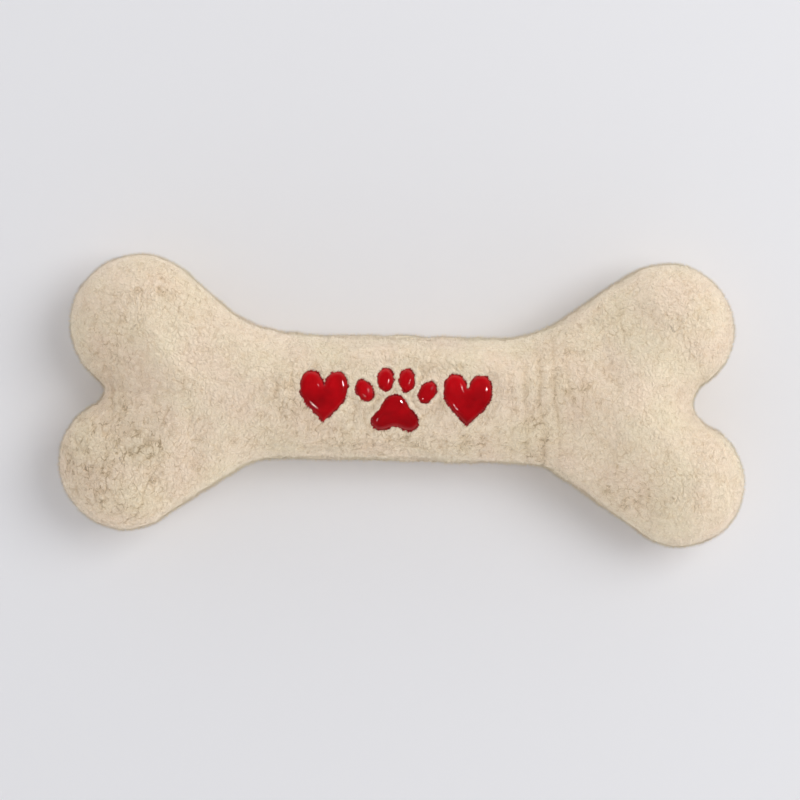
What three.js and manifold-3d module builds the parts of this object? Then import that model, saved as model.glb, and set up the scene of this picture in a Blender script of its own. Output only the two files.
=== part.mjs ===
// A bone-shaped plush dog toy: two fleece panels sewn round their edge, stuffed, with a squeaker in the shaft
// and a row of glossy red patches sewn on the face.
// Millimetres, +Z up. The toy lies on its back panel: +X runs along it and +Z leaves its face.
// The origin is under the middle of the toy, on the surface that it lies on.
import * as THREE from "three";
import { mergeVertices } from "three/addons/utils/BufferGeometryUtils.js";
import Module from "manifold-3d";

const wasm = await Module();
wasm.setup();

// The stuffed cover at its widest, seen from above
const KNOB_REACH = 135.5; // from the toy's middle to a knob's centre, along the toy
const KNOB_SPREAD = 36.5; // from the toy's long axis to a knob's centre
const KNOB_RADIUS = 33;
const SHAFT_WIDTH = 63.2;
const WAIST_RADIUS = 46; // the hollow curve that turns away from the shaft's edge
const FLANK_SLOPE = 35; // degrees from the toy's long axis: the straight flank from that curve to a knob
const NOTCH_RADIUS = 6.5; // the fold between two knobs that touch
const END_CENTRE_SHARE = 0.78; // of KNOB_REACH: where the ridges of an end's two knobs meet the shaft's

// How each knob has filled out, as shares of the sizes above
const KNOB_SHARES = {
  upper_left: { end: -1, side: 1, reach: 0.975, spread: 0.92, radius: 1.065, waist: 1.1, slope: 1.14 },
  lower_left: { end: -1, side: -1, reach: 1.016, spread: 0.96, radius: 1.005, waist: 0.75, slope: 0.97 },
  upper_right: { end: 1, side: 1, reach: 0.966, spread: 1.05, radius: 0.993, waist: 1.4, slope: 0.97 },
  lower_right: { end: 1, side: -1, reach: 1.024, spread: 1.042, radius: 0.967, waist: 0.5, slope: 0.94 },
};
const KNOBS = Object.keys(KNOB_SHARES);

// The height of the ridges over the seam on the face, and under it on the back
const KNOB_CROWN = 30;
const END_CROWN = 32.5;
const SHAFT_CROWN = 29;
const KNOB_BELLY = 29.5;
const END_BELLY = 28.8;
const SHAFT_BELLY = 27;
const REST_FLAT = 0.5; // how far the cover is pressed flat where it rests

// The cover's cloth and its seam
const FLEECE_THICK = 5;
const SEAM_DRAW = 2; // how far the seam pulls the cover's side in
const SEAM_ALLOWANCE = 6; // the cloth beyond the seam, turned inwards
const SEAM_PLY = 2.4; // the thickness of that cloth, pressed flat
const STITCH_LINE = 2; // from the cover's inside wall to the row of stitches
const SEAM_THREAD_RADIUS = 0.5;
const STUFFING_GAP = 76; // the stretch of seam left open for stuffing, then closed by hand
const LADDER_THREAD_RADIUS = 0.4;
const LADDER_PITCH = 4; // one rung of the hand stitch to the next
const LADDER_REACH = 1.3; // how far a rung reaches to either side of the seam

// The patches sewn on the face
const PATCH_THICK = 1.1;
const PATCH_STITCH_INSET = 1.4; // from a patch's edge to the middle of its stitches
const PATCH_THREAD_RADIUS = 0.4;
const PATCH_GAP = 1.5; // between the paw's pad and toes
const MOTIF_GAP = 2.5; // between the paw and a heart
const MOTIF_SHIFT = -4; // from the toy's middle to the paw's, along the toy
const HEART_WIDTH = 24.5;
const HEART_HEIGHT = 26.5;
const PAD_WIDTH = 24;
const PAD_HEIGHT = 18.5;
const TOE_LENGTH = 12.5;
const TOE_WIDTH = 9;

// The squeaker
const BELLOWS_RADIUS = 15; // at a pleat's crest
const PLEAT_DEPTH = 3.5;
const PLEAT_PITCH = 7;
const PLEAT_COUNT = 3;
const BELLOWS_RIM = 1.5; // the straight band over and under the pleats
const BELLOWS_WALL = 1;
const NECK_RADIUS = 5.6;
const NECK_LENGTH = 3;
const HOLDER_LENGTH = 9; // the barrel below its flange
const HOLDER_WALL = 1.3;
const HOLDER_FLANGE_RADIUS = 7.6;
const HOLDER_FLANGE_THICK = 1.2;
const REED_SEAT_LENGTH = 8;
const SEAT_END_WALL = 2; // the seat's closed end, under its air channel
const AIR_CHANNEL_RADIUS = 1.4;
const REED_THICK = 0.4;
const REED_WIDTH = 4.4;
const REED_LAP = 1; // how far the reed's tip passes the air channel
const REED_LIFT = 0.8; // how far the reed's tip stands off its seat
const REED_CLAMP_LENGTH = 2.6;

// Fits and tools
const CLEARANCE = 0.3; // between pieces that touch
const OVERRUN = 3; // how far a cutting body passes what it cuts
const KNOB_CUT_SHARE = 0.42; // from a knob's centre to its end's centre: where its wad of fill ends
const MERGE_TOLERANCE = 0.001;

// Steps of the meshes
const KNOB_STEPS = 13;
const BRANCH_STEPS = 2;
const WAIST_STEPS = 7;
const SHAFT_STEPS = 1;
const OUTER_RING_COUNT = 6;
const INNER_RING_COUNT = 3;
const RING_EASE_POWER = 1.3; // over 1 sets the rings closer together by the seam
const THREAD_SIDES = 4;
const PATCH_THREAD_STEPS = 28;
const TOE_THREAD_STEPS = 14;
const ROUND_STEPS = 24;
const CURVE_STEPS = 6;

const v2 = (x, y) => new THREE.Vector2(x, y);
const v3 = (x, y, z) => new THREE.Vector3(x, y, z);
const smooth = (t) => t * t * (3 - 2 * t);
const count = (n, make) => Array.from({ length: n }, (_, i) => make(i));

// Solids

// A geometry of shared vertices and faces of three
function indexed(positions, faces) {
  const geometry = new THREE.BufferGeometry();
  geometry.setAttribute("position", new THREE.Float32BufferAttribute(positions, 3));
  geometry.setIndex(faces);
  return geometry;
}

// A closed solid from a geometry, with its faces turned outwards
function solidOf(geometry) {
  const bare = geometry.clone();
  for (const name of Object.keys(bare.attributes)) {
    if (name !== "position") bare.deleteAttribute(name);
  }
  const merged = mergeVertices(bare, MERGE_TOLERANCE);
  const faces = [];
  for (let i = 0; i < merged.index.count; i += 3) {
    const [a, b, c] = [0, 1, 2].map((k) => merged.index.getX(i + k));
    if (a !== b && b !== c && c !== a) faces.push([a, b, c]);
  }
  const vertProperties = merged.attributes.position.array;
  const build = (list) => {
    const triVerts = new Uint32Array(list.flat());
    return new wasm.Manifold(new wasm.Mesh({ numProp: 3, vertProperties, triVerts }));
  };
  const solid = build(faces);
  return solid.volume() > 0 ? solid : build(faces.map(([a, b, c]) => [a, c, b]));
}

function geometryOf(solid) {
  const { numProp, numVert, vertProperties, triVerts } = solid.getMesh();
  const points = count(numVert, (i) => [...vertProperties.subarray(i * numProp, i * numProp + 3)]);
  const geometry = indexed(points.flat(), [...triVerts]);
  geometry.computeVertexNormals();
  return geometry;
}

// A solid turned about +Z from a profile of (radius, height) points
function revolve(profile) {
  const geometry = new THREE.LatheGeometry(profile.map(([r, z]) => v2(r, z)), ROUND_STEPS);
  return solidOf(geometry.rotateX(Math.PI / 2));
}

// A straight-sided solid from a plan shape or its points, between two heights
function prism(plan, low, high) {
  const shape = plan instanceof THREE.Shape ? plan : new THREE.Shape(plan);
  const options = { depth: high - low, bevelEnabled: false, curveSegments: CURVE_STEPS };
  return solidOf(new THREE.ExtrudeGeometry(shape, options).translate(0, 0, low));
}

// A block big enough to cut the whole toy
const CUTTER = 4 * KNOB_REACH;
const block = () => new THREE.BoxGeometry(CUTTER, CUTTER, CUTTER);

// A round thread through given points, joined in a ring or with square ends
function threadAlong(points, radius, closed) {
  const last = points.length - 1;
  const sides = THREAD_SIDES;
  const rings = points.map((p, i) => {
    const before = points[closed ? (i + last) % points.length : Math.max(0, i - 1)];
    const after = points[closed ? (i + 1) % points.length : Math.min(last, i + 1)];
    const along = after.clone().sub(before).normalize();
    const across = along.clone().cross(v3(0, 0, 1)).normalize();
    const up = across.clone().cross(along);
    return count(sides, (k) => {
      const a = (2 * Math.PI * k) / sides;
      const spoke = across.clone().multiplyScalar(Math.cos(a)).addScaledVector(up, Math.sin(a));
      return spoke.multiplyScalar(radius).add(p);
    });
  });
  const faces = [];
  for (let i = 0; i < (closed ? last + 1 : last); i++) {
    const j = (i + 1) % points.length;
    for (let k = 0; k < sides; k++) {
      const n = (k + 1) % sides;
      faces.push(i * sides + k, i * sides + n, j * sides + n, i * sides + k, j * sides + n, j * sides + k);
    }
  }
  for (let k = 1; !closed && k < sides - 1; k++) {
    faces.push(0, k + 1, k, last * sides, last * sides + k, last * sides + k + 1);
  }
  return solidOf(indexed(rings.flat().flatMap((q) => q.toArray()), faces));
}

// The bone's outline, as arcs and straight lines that touch: four knobs, four flanks, four waists, two notches
// and the shaft's edges

const endCentre = (end) => v2(end * KNOB_REACH * END_CENTRE_SHARE, 0);
const knobsAt = (end) => KNOBS.filter((name) => KNOB_SHARES[name].end === end);

// One knob, with the straight flank and the waist's arc that lead from it to the shaft, taken in by the inset.
// The flank touches both arcs, so their centres are their two radii apart when measured square to it.
function knobArcs(name, inset) {
  const { end, side, reach, spread, radius, waist, slope } = KNOB_SHARES[name];
  const centre = v2(end * KNOB_REACH * reach, side * KNOB_SPREAD * spread);
  const r = KNOB_RADIUS * radius - inset;
  const waistRadius = WAIST_RADIUS * waist + inset;
  const shaftEdge = side * (SHAFT_WIDTH / 2 - inset);
  const waistY = shaftEdge + side * waistRadius;
  const angle = THREE.MathUtils.degToRad(FLANK_SLOPE * slope);
  const square = v2(-end * Math.sin(angle), side * Math.cos(angle));
  const waistX = centre.x + (r + waistRadius - (waistY - centre.y) * square.y) / square.x;
  const waistCentre = v2(waistX, waistY);
  const leavesKnob = centre.clone().addScaledVector(square, r);
  const meetsWaist = waistCentre.clone().addScaledVector(square, -waistRadius);
  const meetsShaft = v2(waistX, shaftEdge);
  return { end, side, centre, r, waistRadius, waistCentre, leavesKnob, meetsWaist, meetsShaft };
}

// The small arc that touches both knobs of one end, wider where the knobs stand apart
function notchArc(end, inset) {
  const [upper, lower] = knobsAt(end).map((name) => knobArcs(name, 0));
  const apart = upper.centre.distanceTo(lower.centre);
  const r = NOTCH_RADIUS + Math.max(0, apart - upper.r - lower.r) / 2;
  const along = (apart ** 2 + (r + upper.r) ** 2 - (r + lower.r) ** 2) / (2 * apart);
  const out = Math.sqrt((r + upper.r) ** 2 - along ** 2);
  const down = lower.centre.clone().sub(upper.centre).divideScalar(apart);
  const outward = v2(-end * down.y, end * down.x);
  const centre = upper.centre.clone().addScaledVector(down, along).addScaledVector(outward, out);
  return { centre, r: r + inset };
}

// Points on an arc from one place to another by the shorter way, or by way of a third
function arc(centre, r, from, to, steps, through = to) {
  const angle = (p) => Math.atan2(p.y - centre.y, p.x - centre.x);
  const turn = (a) => Math.atan2(Math.sin(a), Math.cos(a));
  const start = angle(from);
  const sweep = turn(angle(through) - start) + turn(angle(to) - angle(through));
  const on = (a) => v2(centre.x + r * Math.cos(a), centre.y + r * Math.sin(a));
  return count(steps + 1, (i) => on(start + (sweep * i) / steps));
}

// Points at even steps along a line through given points
function evenSteps(points, steps) {
  const path = new THREE.CurvePath();
  points.slice(1).forEach((p, i) => path.add(new THREE.LineCurve(points[i], p)));
  return count(steps + 1, (i) => path.getPointAt(i / steps));
}

// Where both waists of an end have reached the shaft's straight edges
function shaftStart(end) {
  return end * Math.min(...knobsAt(end).map((name) => Math.abs(knobArcs(name, 0).waistCentre.x)));
}

// The ridge runs from a knob's centre to its end's centre, and on along the shaft.
// Each place on it has its mix of the three ridge heights.
function ridgeToKnob(name, t) {
  const { end, centre } = knobArcs(name, 0);
  return { ridge: endCentre(end).lerp(centre, t), mix: { knob: smooth(t), end: 1 - smooth(t), shaft: 0 } };
}

function ridgeToShaft(end, t) {
  const ridge = endCentre(end).lerp(v2(shaftStart(end), 0), t);
  return { ridge, mix: { knob: 0, end: 1 - smooth(t), shaft: smooth(t) } };
}

// A quarter of the outline, from a notch round its knob to the shaft's middle.
// Each point comes with the place on the ridge that its spoke runs to.
function quarter(name, inset) {
  const { end, side, centre, r, leavesKnob, meetsWaist, meetsShaft, ...knob } = knobArcs(name, inset);
  const notch = notchArc(end, inset);
  const meetsNotch = centre.clone().lerp(notch.centre, r / (r + notch.r));
  const outermost = v2(centre.x + end * r, centre.y + side * r);
  const start = v2(shaftStart(end), meetsShaft.y);
  const notchRun = arc(notch.centre, notch.r, endCentre(end), meetsNotch, BRANCH_STEPS);
  const knobRun = arc(centre, r, meetsNotch, leavesKnob, KNOB_STEPS, outermost);
  const waistArc = arc(knob.waistCentre, knob.waistRadius, meetsWaist, meetsShaft, 2 * WAIST_STEPS);
  const waistRun = evenSteps([leavesKnob, ...waistArc, start], WAIST_STEPS);
  const overWaist = (i) => {
    if (i <= BRANCH_STEPS) return ridgeToKnob(name, 1 - i / BRANCH_STEPS);
    return ridgeToShaft(end, (i - BRANCH_STEPS) / (WAIST_STEPS - BRANCH_STEPS));
  };
  const overShaft = (x) => ({ ridge: v2(x, 0), mix: { knob: 0, end: 0, shaft: 1 } });
  const shaftX = count(SHAFT_STEPS, (i) => start.x * (1 - (i + 1) / SHAFT_STEPS));
  return [
    ...notchRun.map((p, i) => ({ p, ...ridgeToKnob(name, i / BRANCH_STEPS) })),
    ...knobRun.slice(1).map((p) => ({ p, ...ridgeToKnob(name, 1) })),
    ...waistRun.slice(1).map((p, i) => ({ p, ...overWaist(i + 1) })),
    ...shaftX.map((x) => ({ p: v2(x, meetsShaft.y), ...overShaft(x) })),
  ];
}

// The whole outline, anticlockwise from the right notch
function outline(inset) {
  const out = (name) => quarter(name, inset).slice(0, -1);
  const back = (name) => quarter(name, inset).reverse().slice(0, -1);
  return [...out("upper_right"), ...back("upper_left"), ...out("lower_left"), ...back("lower_right")];
}

const plan = (inset) => outline(inset).map(({ p }) => p);

// Half of the stuffed body: its spokes rise from the outline to the ridge as quarter ellipses,
// and the seam draws their feet in. A skirt can carry the sides on past the seam.
const FACE = { up: 1, knob: KNOB_CROWN, end: END_CROWN, shaft: SHAFT_CROWN };
const BACK = { up: -1, knob: KNOB_BELLY, end: END_BELLY, shaft: SHAFT_BELLY };

function half(panel, inset, rings, skirt = 0) {
  const wide = outline(inset);
  const drawn = outline(inset + SEAM_DRAW);
  const edge = (z) => drawn.map(({ p }) => [p.x, p.y, panel.up * z]);
  const ring = (i) => {
    const angle = (Math.PI / 2) * ((i + 1) / rings) ** RING_EASE_POWER;
    return wide.map(({ p, ridge, mix }) => {
      const height = mix.knob * panel.knob + mix.end * panel.end + mix.shaft * panel.shaft - inset;
      const q = i + 1 < rings ? ridge.clone().lerp(p, Math.cos(angle)) : ridge;
      return [q.x, q.y, panel.up * height * Math.sin(angle)];
    });
  };
  const base = drawn.map(({ ridge }) => [ridge.x, ridge.y, -panel.up * skirt]);
  const loops = [...(skirt > 0 ? [edge(-skirt)] : []), edge(0), ...count(rings, ring), base];
  const size = drawn.length;
  const faces = [];
  loops.forEach((_, a) => {
    const b = (a + 1) % loops.length;
    for (let i = 0; i < size; i++) {
      const j = (i + 1) % size;
      faces.push(a * size + i, a * size + j, b * size + j, a * size + i, b * size + j, b * size + i);
    }
  });
  return solidOf(indexed(loops.flat(2), faces));
}

// The first place where a ray from outside meets a solid
function surfaceFrom(solid) {
  const mesh = new THREE.Mesh(geometryOf(solid));
  return (from, direction) => new THREE.Raycaster(from, direction).intersectObject(mesh)[0].point;
}

// The other panel's side of the seam, with this one's share of the gap between them
const acrossSeam = (panel) => solidOf(block().translate(0, 0, (panel.up * (CLEARANCE - CUTTER)) / 2));

// A plan outline's prism that reaches to a height on both sides of the seam
const slab = (inset, reach) => prism(plan(inset), -reach, reach);

// The cover's two panels

// A shell of fleece, with its seam allowance turned inwards to lie flat on the other panel's
function coverPanel(panel) {
  const shell = half(panel, 0, OUTER_RING_COUNT).subtract(half(panel, FLEECE_THICK, INNER_RING_COUNT, OVERRUN));
  const turnedIn = slab(SEAM_DRAW + FLEECE_THICK / 2, SEAM_PLY);
  const hole = slab(SEAM_DRAW + FLEECE_THICK + SEAM_ALLOWANCE, SEAM_PLY + OVERRUN);
  const allowance = turnedIn.subtract(hole).subtract(squeakerRoom());
  return shell.add(allowance).subtract(acrossSeam(panel));
}

// The depth of the resting surface under the seam
const REST_DEPTH = Math.max(KNOB_BELLY, END_BELLY, SHAFT_BELLY) - REST_FLAT;

function backPanel() {
  return coverPanel(BACK).subtract(solidOf(block().translate(0, 0, -REST_DEPTH - CUTTER / 2)));
}

// Seam thread

// The machine stitch runs round the toy on one seam allowance, from one side of the stuffing gap to the other
function seamThread(panel) {
  const inset = SEAM_DRAW + FLEECE_THICK + STITCH_LINE;
  const z = panel.up * (SEAM_PLY + CLEARANCE + SEAM_THREAD_RADIUS);
  const loop = plan(inset);
  const inGap = (p) => p.y < 0 && Math.abs(p.x) < STUFFING_GAP / 2;
  const first = loop.findIndex((p, i) => !inGap(p) && inGap(loop.at(i - 1)));
  const sewn = [...loop.slice(first), ...loop.slice(0, first)].filter((p) => !inGap(p));
  const lip = (end) => v2((end * STUFFING_GAP) / 2, inset - SHAFT_WIDTH / 2);
  return threadAlong([lip(1), ...sewn, lip(-1)].map((p) => v3(p.x, p.y, z)), SEAM_THREAD_RADIUS, false);
}

// The hand stitch that closes the gap zigzags across the seam, down in the fold that the seam draws in
function ladderStitch() {
  const onFace = surfaceFrom(half(FACE, 0, OUTER_RING_COUNT, OVERRUN));
  const onBack = surfaceFrom(half(BACK, 0, OUTER_RING_COUNT, OVERRUN));
  const rungs = Math.floor(STUFFING_GAP / LADDER_PITCH);
  const knot = (i) => v3((i - rungs / 2) * LADDER_PITCH, 0, i % 2 ? LADDER_REACH : -LADDER_REACH);
  const zigzag = new THREE.CatmullRomCurve3(count(rungs + 1, knot), false, "centripetal");
  const points = zigzag.getPoints(2 * rungs).map(({ x, z }) => {
    const side = (z > 0 ? onFace : onBack)(v3(x, -SHAFT_WIDTH, z), v3(0, 1, 0));
    return v3(x, side.y - CLEARANCE - LADDER_THREAD_RADIUS, z);
  });
  return threadAlong(points, LADDER_THREAD_RADIUS, false);
}

// The fill

// All the space that one panel encloses, less the seam allowances and their stitches
function inside(panel) {
  const lip = SEAM_PLY + 2 * SEAM_THREAD_RADIUS + 2 * CLEARANCE;
  const hole = slab(SEAM_DRAW + FLEECE_THICK + SEAM_ALLOWANCE + CLEARANCE, lip + OVERRUN);
  const allowances = slab(-OVERRUN, lip).subtract(hole);
  return half(panel, FLEECE_THICK + CLEARANCE, INNER_RING_COUNT).subtract(allowances);
}

// The part of the toy that belongs to one knob, made larger by growing it
function knobRegion(name, grow) {
  const { centre, side, end } = knobArcs(name, 0);
  const middle = endCentre(end);
  const out = centre.clone().sub(middle).normalize();
  const cut = centre.clone().lerp(middle, KNOB_CUT_SHARE).addScaledVector(out, -grow);
  const beyond = block().translate(CUTTER / 2, 0, 0).rotateZ(out.angle()).translate(cut.x, cut.y, 0);
  const ownSide = block().translate(0, side * (CUTTER / 2 + CLEARANCE / 2 - grow), 0);
  return solidOf(beyond).intersect(solidOf(ownSide));
}

function knobFill(name) {
  return inside(FACE).add(inside(BACK)).intersect(knobRegion(name, 0));
}

// The wad over or under the seam that fills the shaft and both ends, with its half of the squeaker's pocket
function shaftFill(panel) {
  const knobs = KNOBS.map((name) => knobRegion(name, CLEARANCE));
  const tools = [acrossSeam(panel), squeakerRoom(), ...knobs];
  return tools.reduce((wad, tool) => wad.subtract(tool), inside(panel));
}

// The squeaker, standing on its base in the middle of the shaft

const BELLOWS_HEIGHT = PLEAT_COUNT * PLEAT_PITCH + 2 * BELLOWS_RIM;
const BELLOWS_BASE = -BELLOWS_HEIGHT / 2;
const FLANGE_UNDERSIDE = BELLOWS_BASE + BELLOWS_HEIGHT + CLEARANCE;
const FLANGE_TOP = FLANGE_UNDERSIDE + HOLDER_FLANGE_THICK;

function squeakerRoom() {
  const [r, low, high] = [BELLOWS_RADIUS + CLEARANCE, BELLOWS_BASE - CLEARANCE, FLANGE_TOP + CLEARANCE];
  return revolve([
    [0, low],
    [r, low],
    [r, high],
    [0, high],
  ]);
}

// A blown bellows: pleats between a closed base and a top with a neck turned into it
function bellows() {
  const root = BELLOWS_RADIUS - PLEAT_DEPTH;
  const top = BELLOWS_HEIGHT;
  const pleats = count(PLEAT_COUNT, (i) => [
    [root, BELLOWS_RIM + i * PLEAT_PITCH],
    [BELLOWS_RADIUS, BELLOWS_RIM + (i + 1 / 2) * PLEAT_PITCH],
  ]);
  const side = [...pleats.flat(), [root, top - BELLOWS_RIM]];
  const profile = [
    [0, 0],
    [root, 0],
    ...side,
    [root, top],
    [NECK_RADIUS, top],
    [NECK_RADIUS, top - NECK_LENGTH],
    [NECK_RADIUS + BELLOWS_WALL, top - NECK_LENGTH],
    [NECK_RADIUS + BELLOWS_WALL, top - BELLOWS_WALL],
    [root - BELLOWS_WALL, top - BELLOWS_WALL],
    ...side.map(([r, z]) => [r - BELLOWS_WALL, z]).reverse(),
    [root - BELLOWS_WALL, BELLOWS_WALL],
    [0, BELLOWS_WALL],
  ];
  return revolve(profile.map(([r, z]) => [r, z + BELLOWS_BASE]));
}

// The reed holder hangs in the bellows' neck by its flange
const BARREL_RADIUS = NECK_RADIUS - CLEARANCE;
const BORE_RADIUS = BARREL_RADIUS - HOLDER_WALL;
const BARREL_BOTTOM = FLANGE_UNDERSIDE - HOLDER_LENGTH;
const SEAT_BOTTOM = FLANGE_UNDERSIDE - REED_SEAT_LENGTH;

function reedHolder() {
  const bevel = HOLDER_WALL / 2;
  return revolve([
    [BORE_RADIUS, BARREL_BOTTOM],
    [BARREL_RADIUS - bevel, BARREL_BOTTOM],
    [BARREL_RADIUS, BARREL_BOTTOM + bevel],
    [BARREL_RADIUS, FLANGE_UNDERSIDE],
    [HOLDER_FLANGE_RADIUS, FLANGE_UNDERSIDE],
    [HOLDER_FLANGE_RADIUS, FLANGE_TOP],
    [BORE_RADIUS, FLANGE_TOP],
    [BORE_RADIUS, BARREL_BOTTOM],
  ]);
}

// A half-round block in the holder's bore, with its flat by the reed
const SEAT_FLAT = REED_THICK / 2 + CLEARANCE;

function halfRound(side, low, high) {
  const r = BORE_RADIUS - CLEARANCE;
  const turn = Math.asin(SEAT_FLAT / r);
  const shape = new THREE.Shape();
  const from = side > 0 ? turn : Math.PI + turn;
  shape.absarc(0, 0, r, from, from + Math.PI - 2 * turn, false);
  return prism(new THREE.Shape(shape.getPoints(CURVE_STEPS)), low, high);
}

// The seat's air channel is closed at the bottom and lets out at the top, and the reed beats on its rim
function reedSeat() {
  const channel = new THREE.Shape();
  channel.absarc(0, -SEAT_FLAT, AIR_CHANNEL_RADIUS, 0, 2 * Math.PI, false);
  const air = prism(channel, SEAT_BOTTOM + SEAT_END_WALL, FLANGE_UNDERSIDE + OVERRUN);
  return halfRound(-1, SEAT_BOTTOM, FLANGE_UNDERSIDE).subtract(air);
}

const reedWedge = () => halfRound(1, FLANGE_UNDERSIDE - REED_CLAMP_LENGTH, FLANGE_UNDERSIDE);

// A strip of film, held flat by the wedge and curling off its seat towards the free tip
function reed() {
  const tip = SEAT_BOTTOM + SEAT_END_WALL - REED_LAP;
  const held = FLANGE_UNDERSIDE - REED_CLAMP_LENGTH;
  const curl = count(CURVE_STEPS + 1, (i) => {
    const t = i / CURVE_STEPS;
    return v2(held + (tip - held) * t, REED_LIFT * t ** 2);
  });
  const middle = [v2(FLANGE_UNDERSIDE, 0), ...curl];
  const faceAt = (offset) => middle.map(({ x, y }) => v2(x, y + offset));
  const side = new THREE.Shape([...faceAt(REED_THICK / 2), ...faceAt(-REED_THICK / 2).reverse()]);
  const strip = new THREE.ExtrudeGeometry(side, { depth: REED_WIDTH, bevelEnabled: false });
  const axes = new THREE.Matrix4().makeBasis(v3(0, 0, 1), v3(0, 1, 0), v3(1, 0, 0));
  return solidOf(strip.translate(0, 0, -REED_WIDTH / 2).applyMatrix4(axes));
}

// The patches

// A toe stands on an ellipse round the pad, leaning out from it
const TOE_ARC = {
  across: (PAD_WIDTH + TOE_LENGTH) / 2 + PATCH_GAP,
  up: (PAD_HEIGHT + TOE_LENGTH) / 2 + PATCH_GAP,
};
const PAD_DROP = (TOE_ARC.up + TOE_LENGTH / 2 - PAD_HEIGHT / 2) / 2; // centres the paw on the toy's long axis
const INNER_TOE_ANGLE = Math.asin((TOE_WIDTH + PATCH_GAP) / 2 / TOE_ARC.across);
const OUTER_TOE_ANGLE = INNER_TOE_ANGLE + 2 * Math.asin((TOE_WIDTH + PATCH_GAP) / 2 / TOE_ARC.up);
const TOE_LEAN_SHARE = 0.7; // of a toe's angle round the pad

function toeShape(angle) {
  const x = MOTIF_SHIFT + TOE_ARC.across * Math.sin(angle);
  const y = TOE_ARC.up * Math.cos(angle) - PAD_DROP;
  const shape = new THREE.Shape();
  shape.absellipse(x, y, TOE_WIDTH / 2, TOE_LENGTH / 2, 0, 2 * Math.PI, false, -angle * TOE_LEAN_SHARE);
  return shape;
}

// Both halves of a motif are drawn alike, as shares of half its width and height, from the top down
const HEART_SHARES = {
  from: [0, 0.5],
  curves: [
    [0.1, 0.9, 0.34, 1, 0.54, 1],
    [0.84, 1, 1, 0.72, 1, 0.34],
    [1, -0.2, 0.4, -0.6, 0, -1],
  ],
};
const PAD_SHARES = {
  from: [0, 1],
  curves: [
    [0.5, 1, 0.52, 0.38, 0.8, 0.02],
    [1.2, -0.45, 0.96, -1.08, 0.5, -1],
    [0.26, -0.95, 0.2, -0.82, 0, -0.82],
  ],
};

function mirroredShape({ from, curves }, width, height, x, y) {
  const at = (u, v) => [x + (u * width) / 2, y + (v * height) / 2];
  const shape = new THREE.Shape();
  shape.moveTo(...at(...from));
  for (const [a, b, c, d, e, f] of curves) shape.bezierCurveTo(...at(a, b), ...at(c, d), ...at(e, f));
  curves.toReversed().forEach(([a, b, c, d], i) => {
    const [u, v] = i + 1 < curves.length ? curves[curves.length - 2 - i].slice(4) : from;
    shape.bezierCurveTo(...at(-c, d), ...at(-a, b), ...at(-u, v));
  });
  return shape;
}

const TOES = {
  toe_outer_left: toeShape(-OUTER_TOE_ANGLE),
  toe_inner_left: toeShape(-INNER_TOE_ANGLE),
  toe_inner_right: toeShape(INNER_TOE_ANGLE),
  toe_outer_right: toeShape(OUTER_TOE_ANGLE),
};
const PAW_EDGE = new THREE.Box2().setFromPoints(TOES.toe_outer_right.getPoints(ROUND_STEPS)).max.x;

function heartShape(side) {
  const x = MOTIF_SHIFT + side * (PAW_EDGE - MOTIF_SHIFT + MOTIF_GAP + HEART_WIDTH / 2);
  return mirroredShape(HEART_SHARES, HEART_WIDTH, HEART_HEIGHT, x, 0);
}

const MOTIFS = {
  heart_left: heartShape(-1),
  paw_pad: mirroredShape(PAD_SHARES, PAD_WIDTH, PAD_HEIGHT, MOTIF_SHIFT, -PAD_DROP),
  ...TOES,
  heart_right: heartShape(1),
};

// A sheet that follows the cover's face, cut to a motif
function patch(shape) {
  const over = half(FACE, -CLEARANCE - PATCH_THICK, OUTER_RING_COUNT);
  const under = half(FACE, -CLEARANCE, OUTER_RING_COUNT, OVERRUN);
  return prism(shape, 0, 2 * END_CROWN).intersect(over).subtract(under);
}

// The row of stitches just inside a motif's edge, lying on the patch
function patchStitches(shape, steps) {
  const onTop = surfaceFrom(half(FACE, -2 * CLEARANCE - PATCH_THICK - PATCH_THREAD_RADIUS, OUTER_RING_COUNT));
  const edge = shape.getSpacedPoints(steps).slice(0, -1);
  const inward = THREE.ShapeUtils.isClockWise(edge) ? 1 : -1;
  const points = edge.map((p, i) => {
    const along = edge[(i + 1) % steps].clone().sub(edge.at(i - 1)).normalize();
    const x = p.x + inward * along.y * PATCH_STITCH_INSET;
    const y = p.y - inward * along.x * PATCH_STITCH_INSET;
    return onTop(v3(x, y, 2 * END_CROWN), v3(0, 0, -1));
  });
  return threadAlong(points, PATCH_THREAD_RADIUS, true);
}

// The assembly

const material = (color, roughness) => new THREE.MeshStandardMaterial({ color, roughness, metalness: 0 });
const FLEECE = material(0xd9c8b1, 1);
const SEAM_THREAD = material(0xe6dccb, 0.8);
const FIBREFILL = material(0xf3f1ec, 1);
const BLOWN_PLASTIC = material(0xe9e8e2, 0.45);
const MOULDED_PLASTIC = material(0xf4f4f2, 0.35);
const REED_FILM = material(0xdfe4e6, 0.2);
const PATENT_CLOTH = material(0xa8060f, 0.22);
const RED_THREAD = material(0x7f0a12, 0.6);

const toy = new THREE.Group();
const body = new THREE.Group(); // its zero is at the seam, in the toy's middle
toy.add(body);

function place(name, solid, finish) {
  const mesh = new THREE.Mesh(geometryOf(solid), finish);
  mesh.name = name;
  body.add(mesh);
}

place("front_panel", coverPanel(FACE), FLEECE);
place("back_panel", backPanel(), FLEECE);
place("seam_needle_thread", seamThread(FACE), SEAM_THREAD);
place("seam_bobbin_thread", seamThread(BACK), SEAM_THREAD);
place("closing_ladder_stitch", ladderStitch(), SEAM_THREAD);

place("fill_shaft_front", shaftFill(FACE), FIBREFILL);
place("fill_shaft_back", shaftFill(BACK), FIBREFILL);
for (const name of KNOBS) place(`fill_knob_${name}`, knobFill(name), FIBREFILL);

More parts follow.
